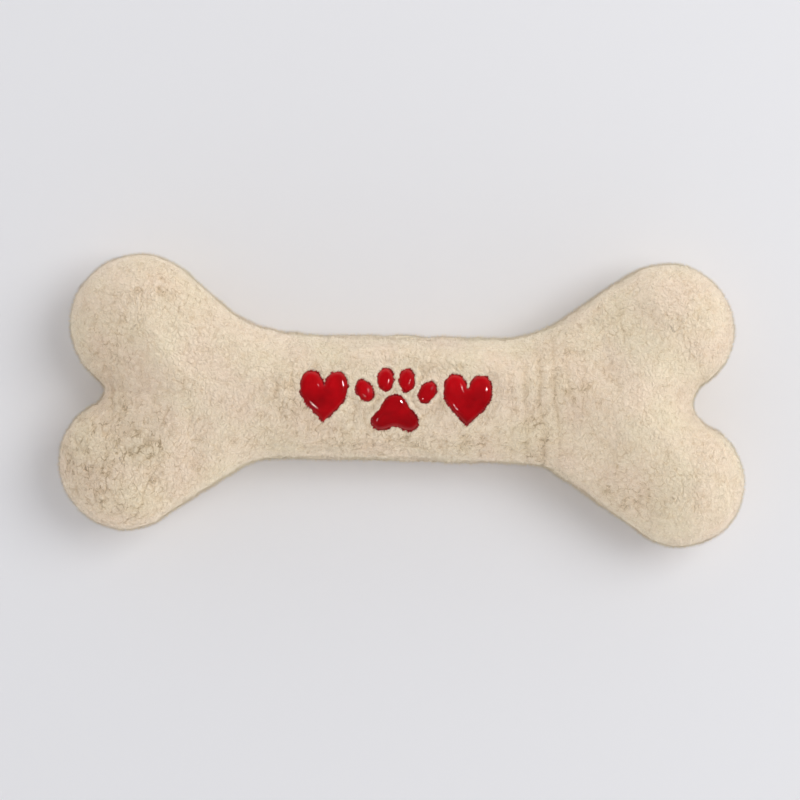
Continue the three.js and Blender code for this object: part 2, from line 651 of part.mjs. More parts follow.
place("squeaker_bellows", bellows(), BLOWN_PLASTIC);
place("reed_holder", reedHolder(), MOULDED_PLASTIC);
place("reed_seat", reedSeat(), MOULDED_PLASTIC);
place("reed_wedge", reedWedge(), MOULDED_PLASTIC);
place("reed", reed(), REED_FILM);

for (const [name, shape] of Object.entries(MOTIFS)) {
  const steps = name in TOES ? TOE_THREAD_STEPS : PATCH_THREAD_STEPS;
  place(`patch_${name}`, patch(shape), PATENT_CLOTH);
  place(`stitches_${name}`, patchStitches(shape, steps), RED_THREAD);
}

// The middle of the outline goes over the origin, and the flats under the knobs on the surface
const middle = new THREE.Box2().setFromPoints(plan(0)).getCenter(v2(0, 0));
body.position.set(-middle.x, -middle.y, REST_DEPTH);

export default toy;
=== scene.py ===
# %% [markdown]
# A stuffed toy in the shape of a bone, lying on its back on a pale table. The real toy is two panels of
# sherpa fleece, cut to one pattern, sewn face to face, turned and stuffed, with a squeaker in its shaft and
# glossy red patches sewn on its face. This file dresses the CAD model of that toy: every surface is worked
# out as a grid of points, and every finish is a small graph of nodes.

import itertools
import math

import bmesh
import bpy
import numpy as np
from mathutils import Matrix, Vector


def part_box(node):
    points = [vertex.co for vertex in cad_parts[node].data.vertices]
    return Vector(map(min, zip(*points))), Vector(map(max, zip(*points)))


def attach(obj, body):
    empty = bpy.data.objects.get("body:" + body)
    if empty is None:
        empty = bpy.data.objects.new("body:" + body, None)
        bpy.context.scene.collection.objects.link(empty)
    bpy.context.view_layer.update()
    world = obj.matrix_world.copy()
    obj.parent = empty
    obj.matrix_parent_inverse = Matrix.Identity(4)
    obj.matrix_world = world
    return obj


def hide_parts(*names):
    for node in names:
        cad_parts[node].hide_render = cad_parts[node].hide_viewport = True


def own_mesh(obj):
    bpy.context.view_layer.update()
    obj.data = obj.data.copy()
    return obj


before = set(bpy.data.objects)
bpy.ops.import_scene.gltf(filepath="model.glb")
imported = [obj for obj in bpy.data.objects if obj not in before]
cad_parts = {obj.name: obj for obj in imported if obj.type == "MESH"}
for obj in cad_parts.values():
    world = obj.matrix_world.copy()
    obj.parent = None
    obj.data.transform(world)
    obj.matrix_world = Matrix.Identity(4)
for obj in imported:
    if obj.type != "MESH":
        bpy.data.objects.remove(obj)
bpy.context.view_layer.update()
MM = 0.001

# %% [markdown]
# All the lengths below are millimetres from one point: over the middle of the toy, at the height of the seam
# that joins its two panels. The squeaker stands across the seam, so the middle of its box gives that height.

# %% The zero of all the lengths
bellows_low, bellows_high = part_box("squeaker_bellows")
SEAM_HEIGHT = (bellows_low.z + bellows_high.z) / 2 / MM
ZERO = np.array([0, 0, SEAM_HEIGHT])
print("The seam is", round(SEAM_HEIGHT, 2), "mm over the table")

# %% [markdown]
# The picture was taken from straight above with a long lens, so the silhouette shows the pattern that the
# panels were cut to, hardly changed by perspective. The toy lies turned a little in the frame, and a camera
# that turns the other way gives the same picture.

# %% The camera
PICTURE_WIDTH = 400
PICTURE_MIDDLE = (-1.72, -1.05)
PICTURE_TURN = math.radians(1.6)
CAMERA_DISTANCE = 1600
SENSOR_WIDTH = 36

scene = bpy.context.scene
camera = bpy.data.objects.new("camera", bpy.data.cameras.new("camera"))
camera.data.sensor_width = SENSOR_WIDTH
camera.data.lens = SENSOR_WIDTH * CAMERA_DISTANCE / PICTURE_WIDTH
camera.location = (ZERO + (*PICTURE_MIDDLE, CAMERA_DISTANCE)) * MM
camera.rotation_euler = (0, 0, PICTURE_TURN)
scene.collection.objects.link(camera)
scene.camera = camera
print("The camera stands", round(camera.location.z, 2), "m up, with a lens of", round(camera.data.lens), "mm")

# %% [markdown]
# Colours are written as the hex codes that a screen shows. Blender reckons with light itself, so one function
# turns a code into linear light. A finish is then a graph of nodes, and one function adds a node to it.

# %% Colours and nodes
def colour(code):
    """A hex code as linear light: each channel over 0.04045 is ((c + 0.055) / 1.055) to the power 2.4."""
    channels = np.array([int(code[i : i + 2], 16) for i in (0, 2, 4)]) / 255
    linear = np.where(channels > 0.04045, ((channels + 0.055) / 1.055) ** 2.4, channels / 12.92)
    return (*linear.tolist(), 1.0)


def feed(tree, node, inputs):
    """Gives inputs, by name or number, their values: a hex code, a number, or a link from another node."""
    for name, value in inputs.items():
        if isinstance(value, bpy.types.NodeSocket):
            tree.links.new(value, node.inputs[name])
        else:
            node.inputs[name].default_value = colour(value) if isinstance(value, str) else value


def add(tree, kind, inputs, stops=(), **settings):
    """Adds a node with its settings, its inputs and, for a colour ramp, its stops as (place, hex code)."""
    node = tree.nodes.new(kind)
    for name, value in settings.items():
        setattr(node, name, value)
    feed(tree, node, inputs)
    for number, (place, code) in enumerate(stops):
        elements = node.color_ramp.elements
        stop = elements[number] if number < 2 else elements.new(place)
        stop.position, stop.color = place, colour(code)
    return node


def finish(name, values):
    """A new material with its one shader, whose inputs get their values. Gives material, nodes and shader."""
    material = bpy.data.materials.new(name)
    material.use_nodes = True
    shader = material.node_tree.nodes["Principled BSDF"]
    feed(material.node_tree, shader, values)
    return material, material.node_tree, shader


print("Cream in linear light:", [round(c, 3) for c in colour("d5c3ad")])

# %% [markdown]
# A table in plain pale grey carries the toy and takes its soft shadow. Nothing on it shows but dull laminate.

# %% The table
TABLE_SIZE = 12000

table = bpy.data.meshes.new("table")
half = TABLE_SIZE / 2 * MM
corners = [(-half, -half, 0), (half, -half, 0), (half, half, 0), (-half, half, 0)]
table.from_pydata(corners, [], [(0, 1, 2, 3)])
table_top = bpy.data.objects.new("table", table)
scene.collection.objects.link(table_top)
matt_laminate, _, _ = finish("matt laminate", {"Base Color": "f0f0f2", "Roughness": 0.9})
table.materials.append(matt_laminate)
print("The table is", TABLE_SIZE / 1000, "m wide")

# %% [markdown]
# The room is a light tent that is brightest near the horizon, so the toy's sides are hardly darker than its
# top and its shadow is faint. Glossy cloth would mirror the bright tent and look pink, so rays that left a
# glossy surface find a tent that darkens overhead, as if a black card hung there. Where the camera looks past
# the table, it sees a plain grey like the table's.

# %% The light tent
TENT_STRENGTH = 2.4
# each stop: how far a direction points up, from 0 at the horizon to 1, and the light that comes from there
TENT = [(0.0, "ffffff"), (0.3, "adadaf"), (0.6, "7e7e80"), (1.0, "636365")]
MIRRORED_TENT = [(0.0, "656567"), (0.5, "070707")]
BACKDROP = [(0.0, "7d7d7f"), (0.3, "a6a6a8")]

room = bpy.data.worlds.new("light tent")
room.use_nodes = True
scene.world = room
direction = add(room.node_tree, "ShaderNodeTexCoord", {})
upward = add(room.node_tree, "ShaderNodeSeparateXYZ", {"Vector": direction.outputs["Generated"]})
tent = add(room.node_tree, "ShaderNodeValToRGB", {"Fac": upward.outputs["Z"]}, TENT)
card = add(room.node_tree, "ShaderNodeValToRGB", {"Fac": upward.outputs["Z"]}, MIRRORED_TENT)
ray = add(room.node_tree, "ShaderNodeLightPath", {})
seen = {0: ray.outputs["Is Glossy Ray"], 6: tent.outputs["Color"], 7: card.outputs["Color"]}
walls = add(room.node_tree, "ShaderNodeMix", seen, data_type="RGBA")
back = add(room.node_tree, "ShaderNodeValToRGB", {"Fac": upward.outputs["Z"]}, BACKDROP)
seen = {0: ray.outputs["Is Camera Ray"], 6: walls.outputs[2], 7: back.outputs["Color"]}
shown = add(room.node_tree, "ShaderNodeMix", seen, data_type="RGBA")
background = {"Color": shown.outputs[2], "Strength": TENT_STRENGTH}
feed(room.node_tree, room.node_tree.nodes["Background"], background)
print("The tent has", len(room.node_tree.nodes), "nodes")

# %% [markdown]
# A wide soft box off to the upper right gives the fleece its soft shading. Two small lamps are seen only in
# glossy surfaces, where they make the hard little glints of the red film.

# %% The lamps
LAMPS = {
    "soft_box": {"place": (1250, 500, 2000), "size": 1500, "power": 25, "glint": False},
    "glint_upper": {"place": (560, 560, 1290), "size": 200, "power": 6, "glint": True},
    "glint_lower": {"place": (-500, -620, 1290), "size": 170, "power": 5, "glint": True},
}


def lamp(name, place, size, power, glint):
    """A square lamp that faces the toy's zero. Place and size are in mm, and power is in watts. A glint is
    seen only in glossy surfaces, and any other lamp only lights dull ones."""
    light = bpy.data.lights.new(name, "AREA")
    light.size = size * MM
    light.energy = power
    made = bpy.data.objects.new(name, light)
    made.location = (ZERO + place) * MM
    made.rotation_mode = "QUATERNION"
    made.rotation_quaternion = (-made.location).to_track_quat("-Z", "Y")
    made.visible_glossy = glint
    made.visible_diffuse = not glint
    scene.collection.objects.link(made)


for name, values in LAMPS.items():
    lamp(name, **values)
scene.view_settings.view_transform = "Standard"
print("Lamps:", [light.name for light in bpy.data.lights])

# %% [markdown]
# Fleece is never regular, yet the toy must come out the same each time. So chance comes from a formula: the
# whole numbers of a cube in space are mixed into a number from 0 to 1 that always belongs to that cube. Each
# use adds a number of its own, its salt, so that no two of them are alike. From chance come smooth noise, for
# lumps, and cells, for the tufts that pile gathers into.

# %% Chance that repeats
def chance(cube, salt):
    """A number from 0 to 1 for each cube: its three whole numbers times large primes, mixed bit by bit."""
    i, j, k = (cube[:, axis].astype(np.uint32) for axis in range(3))
    mixed = i * np.uint32(73856093) ^ j * np.uint32(19349663) ^ k * np.uint32(83492791)
    mixed = mixed ^ np.uint32(salt * 2654435761 % 2**32)
    for shift, factor in ((15, 2246822519), (13, 3266489917), (16, 668265263)):
        mixed = (mixed ^ (mixed >> np.uint32(shift))) * np.uint32(factor)
    return (mixed >> np.uint32(8)).astype(np.float32) / 2**24


def smooth(t):
    """Rises from 0 to 1 with level ends: t² (3 - 2t)."""
    t = np.clip(t, 0, 1)
    return t * t * (3 - 2 * t)


def lumps(points, size, salt):
    """Smooth noise from -1 to 1: the chances of a cube's eight corners, mixed by how near each one is."""
    cube = np.floor(points / size)
    part = smooth(points / size - cube)
    total = np.zeros(len(points), np.float32)
    for corner in itertools.product((0, 1), repeat=3):
        near = np.where(np.array(corner) == 1, part, 1 - part).prod(axis=1)
        total += near * chance((cube + corner).astype(np.int64), salt)
    return 2 * total - 1


def lumps3(points, size, salt):
    """Three lumps fields side by side, as a push in space."""
    return np.stack([lumps(points, size, salt + axis) for axis in range(3)], axis=1)


def cells(points, size, salt):
    """Cells round one chance point in each cube. Gives how clear of its cell's border a place is, as the
    difference of the distances to the two nearest points over their sum (0 on the border, 1 at the cell's own
    point), and the cell's own chance number."""
    home = np.floor(points / size).astype(np.int64)
    first = np.full(len(points), np.inf, np.float32)
    second = first.copy()
    owner = np.zeros(len(points), np.float32)
    for step in itertools.product((-1, 0, 1), repeat=3):
        cube = home + step
        middle = cube + np.stack([chance(cube, salt + axis) for axis in range(3)], axis=1)
        away = np.linalg.norm(points / size - middle, axis=1).astype(np.float32)
        nearer = away < first
        second = np.where(nearer, first, np.minimum(second, away))
        owner = np.where(nearer, chance(cube, salt + 3), owner)
        first = np.where(nearer, away, first)
    return (second - first) / (second + first), owner


samples = lumps(np.random.default_rng(1).uniform(-99, 99, (1000, 3)), 5, 1)
print("Lumps run from", samples.min().round(2), "to", samples.max().round(2))

# %% [markdown]
# Meshes come as arrays of points and of triangles. Grids that close on themselves, or that end on a line or a
# point, have rows of doubled points there. Welding joins them, so each shell is closed and its light is
# smooth across the join.

# %% Closed shells from grids
def grid_faces(rows, columns):
    """Two triangles for each cell of a grid whose columns run round in a ring. Point (row, column) has the
    number row * columns + column."""
    row, column = np.meshgrid(np.arange(rows - 1), np.arange(columns), indexing="ij")
    a = (row * columns + column).ravel()
    b = (row * columns + (column + 1) % columns).ravel()
    return np.concatenate([np.stack([a, b, b + columns], 1), np.stack([a, b + columns, a + columns], 1)])


def weld(points, faces):
    """Joins points that fall together within a thousandth of a millimetre, and drops the flat triangles that
    this leaves. Gives the kept points, the faces and, for each kept point, its old number."""
    keys = np.round(points * 1000).astype(np.int64)
    _, kept, number = np.unique(keys, axis=0, return_index=True, return_inverse=True)
    number = number.ravel()
    joined = number[faces]
    a, b, c = joined.T
    return points[kept], joined[(a != b) & (b != c) & (c != a)], kept


def facings(points, faces):
    """The outward direction at each point: the mean of its triangles' own, weighted by their areas."""
    a, b, c = (points[faces[:, k]] for k in range(3))
    across = np.cross(b - a, c - a)
    total = np.zeros((len(points), 3))
    for axis in range(3):
        total[:, axis] = sum(np.bincount(faces[:, k], across[:, axis], len(points)) for k in range(3))
    return total / np.maximum(np.linalg.norm(total, axis=1, keepdims=True), 1e-9)


def volume(points, faces):
    """The space in a closed mesh, in cm³: the sum of a · (b × c) / 6 over its triangles."""
    a, b, c = (points[faces[:, k]] for k in range(3))
    return np.einsum("ij,ij->i", a, np.cross(b, c)).sum() / 6 / 1000


print("A ring of 4 rows and 5 columns has", len(grid_faces(4, 5)), "triangles")

# %% [markdown]
# An object takes a whole array of points at once with foreach_set, which is far quicker than a loop. It
# rides on the toy's body, so that it moves with the CAD model, and it hides the CAD solid that it stands for.


def piece(name, points, faces, materials, slot, replaces, values=None, kinds=None, flat=None):
    """Makes an object from points in mm round the toy's zero. It rides on the toy and stands for CAD nodes.
    Values are a number for each point, kept as the attribute that the finish reads. Flat marks the faces
    whose light doesn't blend into their neighbours'."""
    mesh = bpy.data.meshes.new(name)
    mesh.vertices.add(len(points))
    mesh.vertices.foreach_set("co", ((points + ZERO) * MM).astype(np.float32).ravel())
    mesh.loops.add(faces.size)
    mesh.loops.foreach_set("vertex_index", faces.astype(np.int32).ravel())
    mesh.polygons.add(len(faces))
    mesh.polygons.foreach_set("loop_start", np.arange(0, faces.size, 3, dtype=np.int32))
    mesh.update(calc_edges=True)
    mesh.polygons.foreach_set("use_smooth", np.ones(len(faces), bool) if flat is None else ~flat)
    for key, numbers in (values or {}).items():
        mesh.attributes.new(key, "FLOAT", "POINT").data.foreach_set("value", numbers.astype(np.float32))
    for material in materials:
        mesh.materials.append(material)
    if kinds is not None:
        mesh.polygons.foreach_set("material_index", kinds.astype(np.int32))
    made = bpy.data.objects.new(name, mesh)
    scene.collection.objects.link(made)
    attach(made, "toy")
    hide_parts(*replaces)
    print(f"{name}: {len(faces)} triangles, {volume(points, faces):.2f} cm³")
    return made


def gives_way(made):
    """Gives the piece a mesh of its own."""
    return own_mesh(made)


# %% [markdown]
# Thread is a thin tube: a ring of points square to the way that the thread runs, carried along its path.

# %% Threads as tubes
def tube(path, radius, sides, closed):
    """A round thread: a ring of points in the plane square to the path at each of its points. A closed path
    meets itself, and an open one ends in a point."""
    before = np.roll(path, 1, 0)
    after = np.roll(path, -1, 0)
    if not closed:
        before[0] = path[0]
        after[-1] = path[-1]
    along = after - before
    along /= np.linalg.norm(along, axis=1, keepdims=True)
    across = np.cross(along, (0, 0, 1.0))
    across /= np.maximum(np.linalg.norm(across, axis=1, keepdims=True), 1e-9)
    up = np.cross(across, along)
    turn = 2 * np.pi * np.arange(sides) / sides
    spokes = np.cos(turn)[:, None] * across[:, None] + np.sin(turn)[:, None] * up[:, None]
    size = np.full(len(path), float(radius))
    if not closed:
        size[[0, -1]] = 0
    points = path[:, None] + spokes * size[:, None, None]
    if closed:
        points = np.concatenate([points, points[:1]])
    return points.reshape(-1, 3), grid_faces(len(points), sides)[:, ::-1]


straight = np.linspace((0, 0, 0), (10, 0, 0), 11)
tube_points, tube_faces = tube(straight, 1, 6, False)
print("A thread 10 mm long and 2 mm thick holds", volume(tube_points, tube_faces).round(3), "cm³")

# %% [markdown]
# The pattern of the bone is one closed line of arcs and straight runs that touch: four knobs, the flank that
# leaves each for the hollow waist, the notch between two knobs, and the shaft's straight edges. The knobs of
# a stuffed toy never come out alike, so each has its own shares of the pattern's sizes. The CAD source draws
# the same line in the same sizes.

# %% The pattern's sizes
KNOB_REACH = 135.5
KNOB_SPREAD = 36.5
KNOB_RADIUS = 33
SHAFT_WIDTH = 63.2
WAIST_RADIUS = 46
FLANK_SLOPE = math.radians(35)
NOTCH_RADIUS = 6.5
END_CENTRE_SHARE = 0.78
KNOB_SHARES = {
    "upper_left": {"end": -1, "side": 1, "reach": 0.975, "spread": 0.92, "radius": 1.065, "waist": 1.1},
    "lower_left": {"end": -1, "side": -1, "reach": 1.016, "spread": 0.96, "radius": 1.005, "waist": 0.75},
    "upper_right": {"end": 1, "side": 1, "reach": 0.966, "spread": 1.05, "radius": 0.993, "waist": 1.4},
    "lower_right": {"end": 1, "side": -1, "reach": 1.024, "spread": 1.042, "radius": 0.967, "waist": 0.5},
}
SLOPE_SHARES = {"upper_left": 1.14, "lower_left": 0.97, "upper_right": 0.97, "lower_right": 0.94}
NOTCH_COLUMNS = 34
KNOB_COLUMNS = 180
WAIST_COLUMNS = 3 * NOTCH_COLUMNS
SHAFT_COLUMNS = 84
for name, knob in KNOB_SHARES.items():
    print("The knob", name, "has a radius of", round(KNOB_RADIUS * knob["radius"], 1), "mm")

# %% [markdown]
# The arcs' middles follow from how they touch. Two circles that touch from outside have their middles as far
# apart as their two radii, and the place where they touch lies on the line between the middles.

# %% The arcs that touch
def end_centre(end):
    """The middle of an end, from which its knobs branch: a share of the knobs' reach along the axis."""
    return np.array([end * KNOB_REACH * END_CENTRE_SHARE, 0.0])


def knob_arcs(name):
    """A knob's circle, its waist's circle, and the direction square to the flank that touches both, away from
    the knob. Measured that way, the two middles are both radii apart."""
    knob = KNOB_SHARES[name]
    middle = np.array([knob["end"] * KNOB_REACH * knob["reach"], knob["side"] * KNOB_SPREAD * knob["spread"]])
    radius = KNOB_RADIUS * knob["radius"]
    hollow = WAIST_RADIUS * knob["waist"]
    slope = FLANK_SLOPE * SLOPE_SHARES[name]
    square = np.array([-knob["end"] * math.sin(slope), knob["side"] * math.cos(slope)])
    height = knob["side"] * (SHAFT_WIDTH / 2 + hollow)
    along = middle[0] + (radius + hollow - (height - middle[1]) * square[1]) / square[0]
    return middle, radius, np.array([along, height]), hollow, square


def shaft_start(end):
    """Where both waists of an end have reached the shaft's straight edges."""
    names = [name for name in KNOB_SHARES if KNOB_SHARES[name]["end"] == end]
    return end * min(abs(knob_arcs(name)[2][0]) for name in names)


def notch_arc(end):
    """The small circle that touches both knobs of an end from outside."""
    (a, ra, *_), (b, rb, *_) = (knob_arcs(n) for n in KNOB_SHARES if KNOB_SHARES[n]["end"] == end)
    apart = np.linalg.norm(b - a)
    radius = NOTCH_RADIUS + max(0, apart - ra - rb) / 2
    along = (apart**2 + (radius + ra) ** 2 - (radius + rb) ** 2) / (2 * apart)
    out = math.sqrt((radius + ra) ** 2 - along**2)
    down = (b - a) / apart
    return a + down * along + np.array([-end * down[1], end * down[0]]) * out, radius


def shorter_turn(angle):
    """The same turn by the shorter way round, between minus and plus half a turn."""
    return math.atan2(math.sin(angle), math.cos(angle))


def arc(middle, start, stop, steps, through=None):
    """Directions at even steps round a circle, from one place to another by the shorter way or by a third."""
    by = stop if through is None else through
    first, half_way, last = (math.atan2(y - middle[1], x - middle[0]) for x, y in (start, by, stop))
    sweep = shorter_turn(half_way - first) + shorter_turn(last - half_way)
    angles = first + sweep * np.arange(steps + 1) / steps
    return np.stack([np.cos(angles), np.sin(angles)], 1)


print("Notch radii in mm:", [round(notch_arc(end)[1], 1) for end in (-1, 1)])

# %% [markdown]
# Each point of the outline has a spoke that runs in to the ridge, the highest line of the toy. The ridge
# branches like a Y at either end: spokes from a knob all meet in its middle, and those from the notch and the
# waist share the branch between the knob's middle and the end's.

# %% The outline, its spokes and its ridge
def quarter(name):
    """The outline from a notch round its knob to the shaft's middle, as arrays: the points, their outward
    directions, the foot of each spoke on the ridge, and how much each foot is knob, end and shaft."""
    end, side = KNOB_SHARES[name]["end"], KNOB_SHARES[name]["side"]
    middle, radius, waist, hollow, square = knob_arcs(name)
    notch, notch_radius = notch_arc(end)
    meets_notch = middle + (notch - middle) * radius / (radius + notch_radius)
    leaves_knob = middle + square * radius
    meets_waist = waist - square * hollow
    meets_shaft = np.array([waist[0], side * SHAFT_WIDTH / 2])
    start = shaft_start(end)

    into_notch = arc(notch, end_centre(end), meets_notch, NOTCH_COLUMNS)
    corner = middle + (end * radius, side * radius)
    round_knob = arc(middle, meets_notch, leaves_knob, KNOB_COLUMNS, corner)[1:]
    flank = np.linalg.norm(meets_waist - leaves_knob)
    slope = math.atan2(abs(square[0]), abs(square[1]))
    curved, level = hollow * slope, abs(waist[0] - start)
    travel = (flank + curved + level) * np.arange(1, WAIST_COLUMNS + 1) / WAIST_COLUMNS
    lean = slope * np.clip((flank + curved - travel) / curved, 0, 1)
    round_waist = np.stack([-end * np.sin(lean), side * np.cos(lean)], 1)
    down_flank = np.maximum(flank - travel, 0)[:, None] * (leaves_knob - meets_waist) / flank
    past = np.maximum(travel - flank - curved, 0)[:, None] * (-end, 0)
    shaft_x = start * (1 - np.arange(1, SHAFT_COLUMNS + 1) / SHAFT_COLUMNS)

    points = np.concatenate([
        notch + into_notch * notch_radius,
        middle + round_knob * radius,
        waist - round_waist * hollow + down_flank + past,
        np.stack([shaft_x, np.full(SHAFT_COLUMNS, meets_shaft[1])], 1),
    ])
    outward = np.concatenate([-into_notch, round_knob, round_waist, np.tile((0.0, side), (SHAFT_COLUMNS, 1))])
    to_knob = np.concatenate([
        np.arange(NOTCH_COLUMNS + 1) / NOTCH_COLUMNS,
        np.ones(KNOB_COLUMNS),
        np.clip(1 - np.arange(1, WAIST_COLUMNS + 1) / NOTCH_COLUMNS, 0, 1),
        np.zeros(SHAFT_COLUMNS),
    ])
    to_shaft = np.concatenate([
        np.zeros(NOTCH_COLUMNS + 1 + KNOB_COLUMNS),
        np.clip((np.arange(1, WAIST_COLUMNS + 1) / NOTCH_COLUMNS - 1) / 2, 0, 1),
        np.ones(SHAFT_COLUMNS),
    ])
    feet = end_centre(end) + to_knob[:, None] * (middle - end_centre(end))
    feet += to_shaft[:, None] * (np.array([start, 0.0]) - end_centre(end))
    feet[-SHAFT_COLUMNS:, 0] = shaft_x
    mix = np.stack([smooth(to_knob), 1 - smooth(to_knob) - smooth(to_shaft), smooth(to_shaft)], 1)
    return points, outward, feet, mix


def whole_outline():
    """The four quarters joined, anticlockwise from the right notch."""
    turned = [quarter("upper_right"), quarter("upper_left"), quarter("lower_left"), quarter("lower_right")]
    runs = [[part[:-1] if n % 2 == 0 else part[::-1][:-1] for part in run] for n, run in enumerate(turned)]
    return [np.concatenate(parts) for parts in zip(*runs)]


EDGE, OUTWARD, FEET, MIX = whole_outline()
CENTRE = (EDGE.max(axis=0) + EDGE.min(axis=0)) / 2
EDGE -= CENTRE
FEET -= CENTRE
SHAFT_AXIS = -CENTRE[1]
print("The outline:", len(EDGE), "points,", np.ptp(EDGE, axis=0).round(1), "mm")

# %% [markdown]
# A stuffed panel stands off its seam like a loaf: seen in section, each spoke rises as a quarter of an
# ellipse from the outline to the ridge. The seam pulls the foot of the wall in, so the two panels meet in a
# groove. Inside, the cloth turns in beyond the seam as an allowance that lies flat on the other panel's. A
# panel's heights are those of its ridge over the seam: at the knobs' middles, at the ends' and along the
# shaft.

# %% A panel as a closed shell
FACE = {"up": 1, "heights": (30, 32.5, 29)}
BACK = {"up": -1, "heights": (29.5, 28.8, 27)}
FLEECE_THICK = 5
SEAM_DRAW = 2
GROOVE_REACH = 7
SEAM_ALLOWANCE = 6
SEAM_PLY = 2.4
SEAM_GAP = 0.03
OUTER_ROWS = 72
INNER_ROWS = 10


def wall(panel, inset, angle, drawn=0):
    """One row of the body's surface, at a height angle from 0 at the seam to a quarter turn at the ridge.
    Plan: the outline, taken in by the inset and the draw, moves to the spoke's foot with the angle's cosine.
    Height: the ridge's mixed height less the inset, times the angle's sine."""
    reach = math.cos(angle)
    plan = reach * (EDGE - (inset + drawn) * OUTWARD) + (1 - reach) * FEET
    height = (MIX @ np.array(panel["heights"]) - inset) * math.sin(angle)
    return np.column_stack([plan, panel["up"] * height])


def lip(panel, inset, height):
    """One row of the allowance: the outline taken in by the inset, at one height."""
    return np.column_stack([EDGE - inset * OUTWARD, np.full(len(EDGE), panel["up"] * height)])


def draw(angle):
    """How far the seam pulls the wall in: a quarter circle that ends at the groove's reach."""
    t = np.minimum(1, SHAFT_WIDTH / 2 * np.sin(angle) / GROOVE_REACH)
    return SEAM_DRAW * (1 - np.sqrt(1 - (1 - t) ** 2))


def panel_shell(panel):
    """The rows from the ridge inside, down the inner wall, round the allowance and up the outer wall. Gives
    the welded points and faces, and each point's number among the outer rows' points, below 0 elsewhere."""
    inside = FLEECE_THICK
    turned_in = SEAM_DRAW + inside
    lowest = math.asin(SEAM_PLY / (min(panel["heights"]) - inside))
    inner = [wall(panel, inside, a) for a in np.linspace(math.pi / 2, lowest, INNER_ROWS)]
    cut_edge = turned_in + SEAM_ALLOWANCE
    ply = [(turned_in, SEAM_PLY), (cut_edge, SEAM_PLY), (cut_edge, SEAM_GAP)]
    allowance = [lip(panel, inset, height) for inset, height in ply]
    angles = np.linspace(0, math.pi / 2, OUTER_ROWS)
    outer = [wall(panel, 0, a, draw(a)) for a in angles]
    outer[0][:, 2] = panel["up"] * SEAM_GAP
    rows = [*inner, *allowance, *outer]
    faces = grid_faces(len(rows), len(EDGE))[:, :: panel["up"]]
    points, faces, kept = weld(np.concatenate(rows), faces)
    return points, faces, kept - (len(rows) - OUTER_ROWS) * len(EDGE)


face_points, face_faces, _ = panel_shell(FACE)
print("The face panel's smooth shell holds", round(volume(face_points, face_faces)), "cm³ of cloth")

# %% [markdown]
# A stuffed cover is never as even as its pattern: the stuffing presses it out, and spare cloth gathers in
# folds. Blender's cloth simulation finds out where. A net of the whole cover is enough for it, with every
# eighth column of the fine shell, since folds are much wider than curls.

# %% A coarse net of the cover
NET_STEP = 8
NET_ROWS = 15


def net(inset):
    """The coarse grid: rows from the ridge of the face down to the seam, and on to the ridge of the back."""
    angles = np.linspace(0, math.pi / 2, NET_ROWS)
    face = [wall(FACE, inset * math.sin(a), a, draw(a)) for a in angles[::-1]]
    back = [wall(BACK, inset * math.sin(a), a, draw(a)) for a in angles[1:]]
    return np.array([*face, *back])[:, ::NET_STEP]


print("The net has", len(net(0)), "rows and", len(net(0)[0]), "columns")

# %% [markdown]
# The net starts a little smaller than the toy and is cut a little large. It is held along its seam and blown
# up for twenty frames without any weight, since stuffing presses on a cover from inside much harder than its
# weight pulls. How far each of its points then lies from the even shape is limited and smoothed.

# %% The cover blown up by its stuffing
NET_INSET = 0.8
SPARE_CLOTH = 0.008
PRESSURE = 4
STIFF = 6
FRAMES = 20
SWELL_LIMIT = 2.4
SMOOTH_REACH = 4


def blown_up():
    """Runs the simulation, and gives each net point's way from the even shape to where it ends, in mm, cut
    to a limit. The seam's row is pinned, so it stays. Last, every way becomes the mean of all, weighted by e
    to the power of minus half the square of their distance over the reach, so that no crumple is left."""
    start = net(NET_INSET)
    rows, columns = start.shape[:2]
    points, faces, kept = weld(start.reshape(-1, 3), grid_faces(rows, columns))
    mesh = bpy.data.meshes.new("net")
    mesh.from_pydata((points * MM).tolist(), [], faces.tolist())
    cover = bpy.data.objects.new("net", mesh)
    scene.collection.objects.link(cover)
    seam = cover.vertex_groups.new(name="seam")
    seam.add(np.where(kept // columns == NET_ROWS - 1)[0].tolist(), 1.0, "REPLACE")
    cloth = cover.modifiers.new("cloth", "CLOTH").settings
    cloth.vertex_group_mass = "seam"
    cloth.use_pressure = True
    cloth.uniform_pressure_force = PRESSURE
    cloth.shrink_min = -SPARE_CLOTH
    cloth.bending_stiffness = STIFF
    cloth.effector_weights.gravity = 0
    for frame_number in range(1, FRAMES + 1):
        scene.frame_set(frame_number)
    blown = cover.evaluated_get(bpy.context.evaluated_depsgraph_get()).to_mesh()
    places = np.empty(3 * len(points))
    blown.vertices.foreach_get("co", places)
    bpy.data.objects.remove(cover)
    bpy.data.meshes.remove(mesh)
    scene.frame_set(1)
    _, number = np.unique(np.round(start.reshape(-1, 3) * 1000), axis=0, return_inverse=True)
    number = number.ravel()
    way = (places.reshape(-1, 3) / MM)[number].reshape(start.shape) - net(0)
    far = np.linalg.norm(way, axis=2, keepdims=True)
    way *= np.minimum(1, SWELL_LIMIT / np.maximum(far, 1e-9))
    even = net(0).reshape(-1, 3)
    square = (even**2).sum(axis=1)
    near = np.exp((2 * even @ even.T - square[:, None] - square) / (2 * SMOOTH_REACH**2))
    way = (near @ way.reshape(-1, 3) / near.sum(axis=1, keepdims=True)).reshape(way.shape)
    way[NET_ROWS - 1] = 0
    return way


WAY = blown_up()
far = np.linalg.norm(WAY, axis=2)
print("Net points lie", far.mean().round(2), "mm from the even shape, and", far.max().round(2), "mm at most")

# %% [markdown]
# The fine shell has many more points than the net, so the way of each is read between the net's, on smooth
# curves along the rows and along the columns.

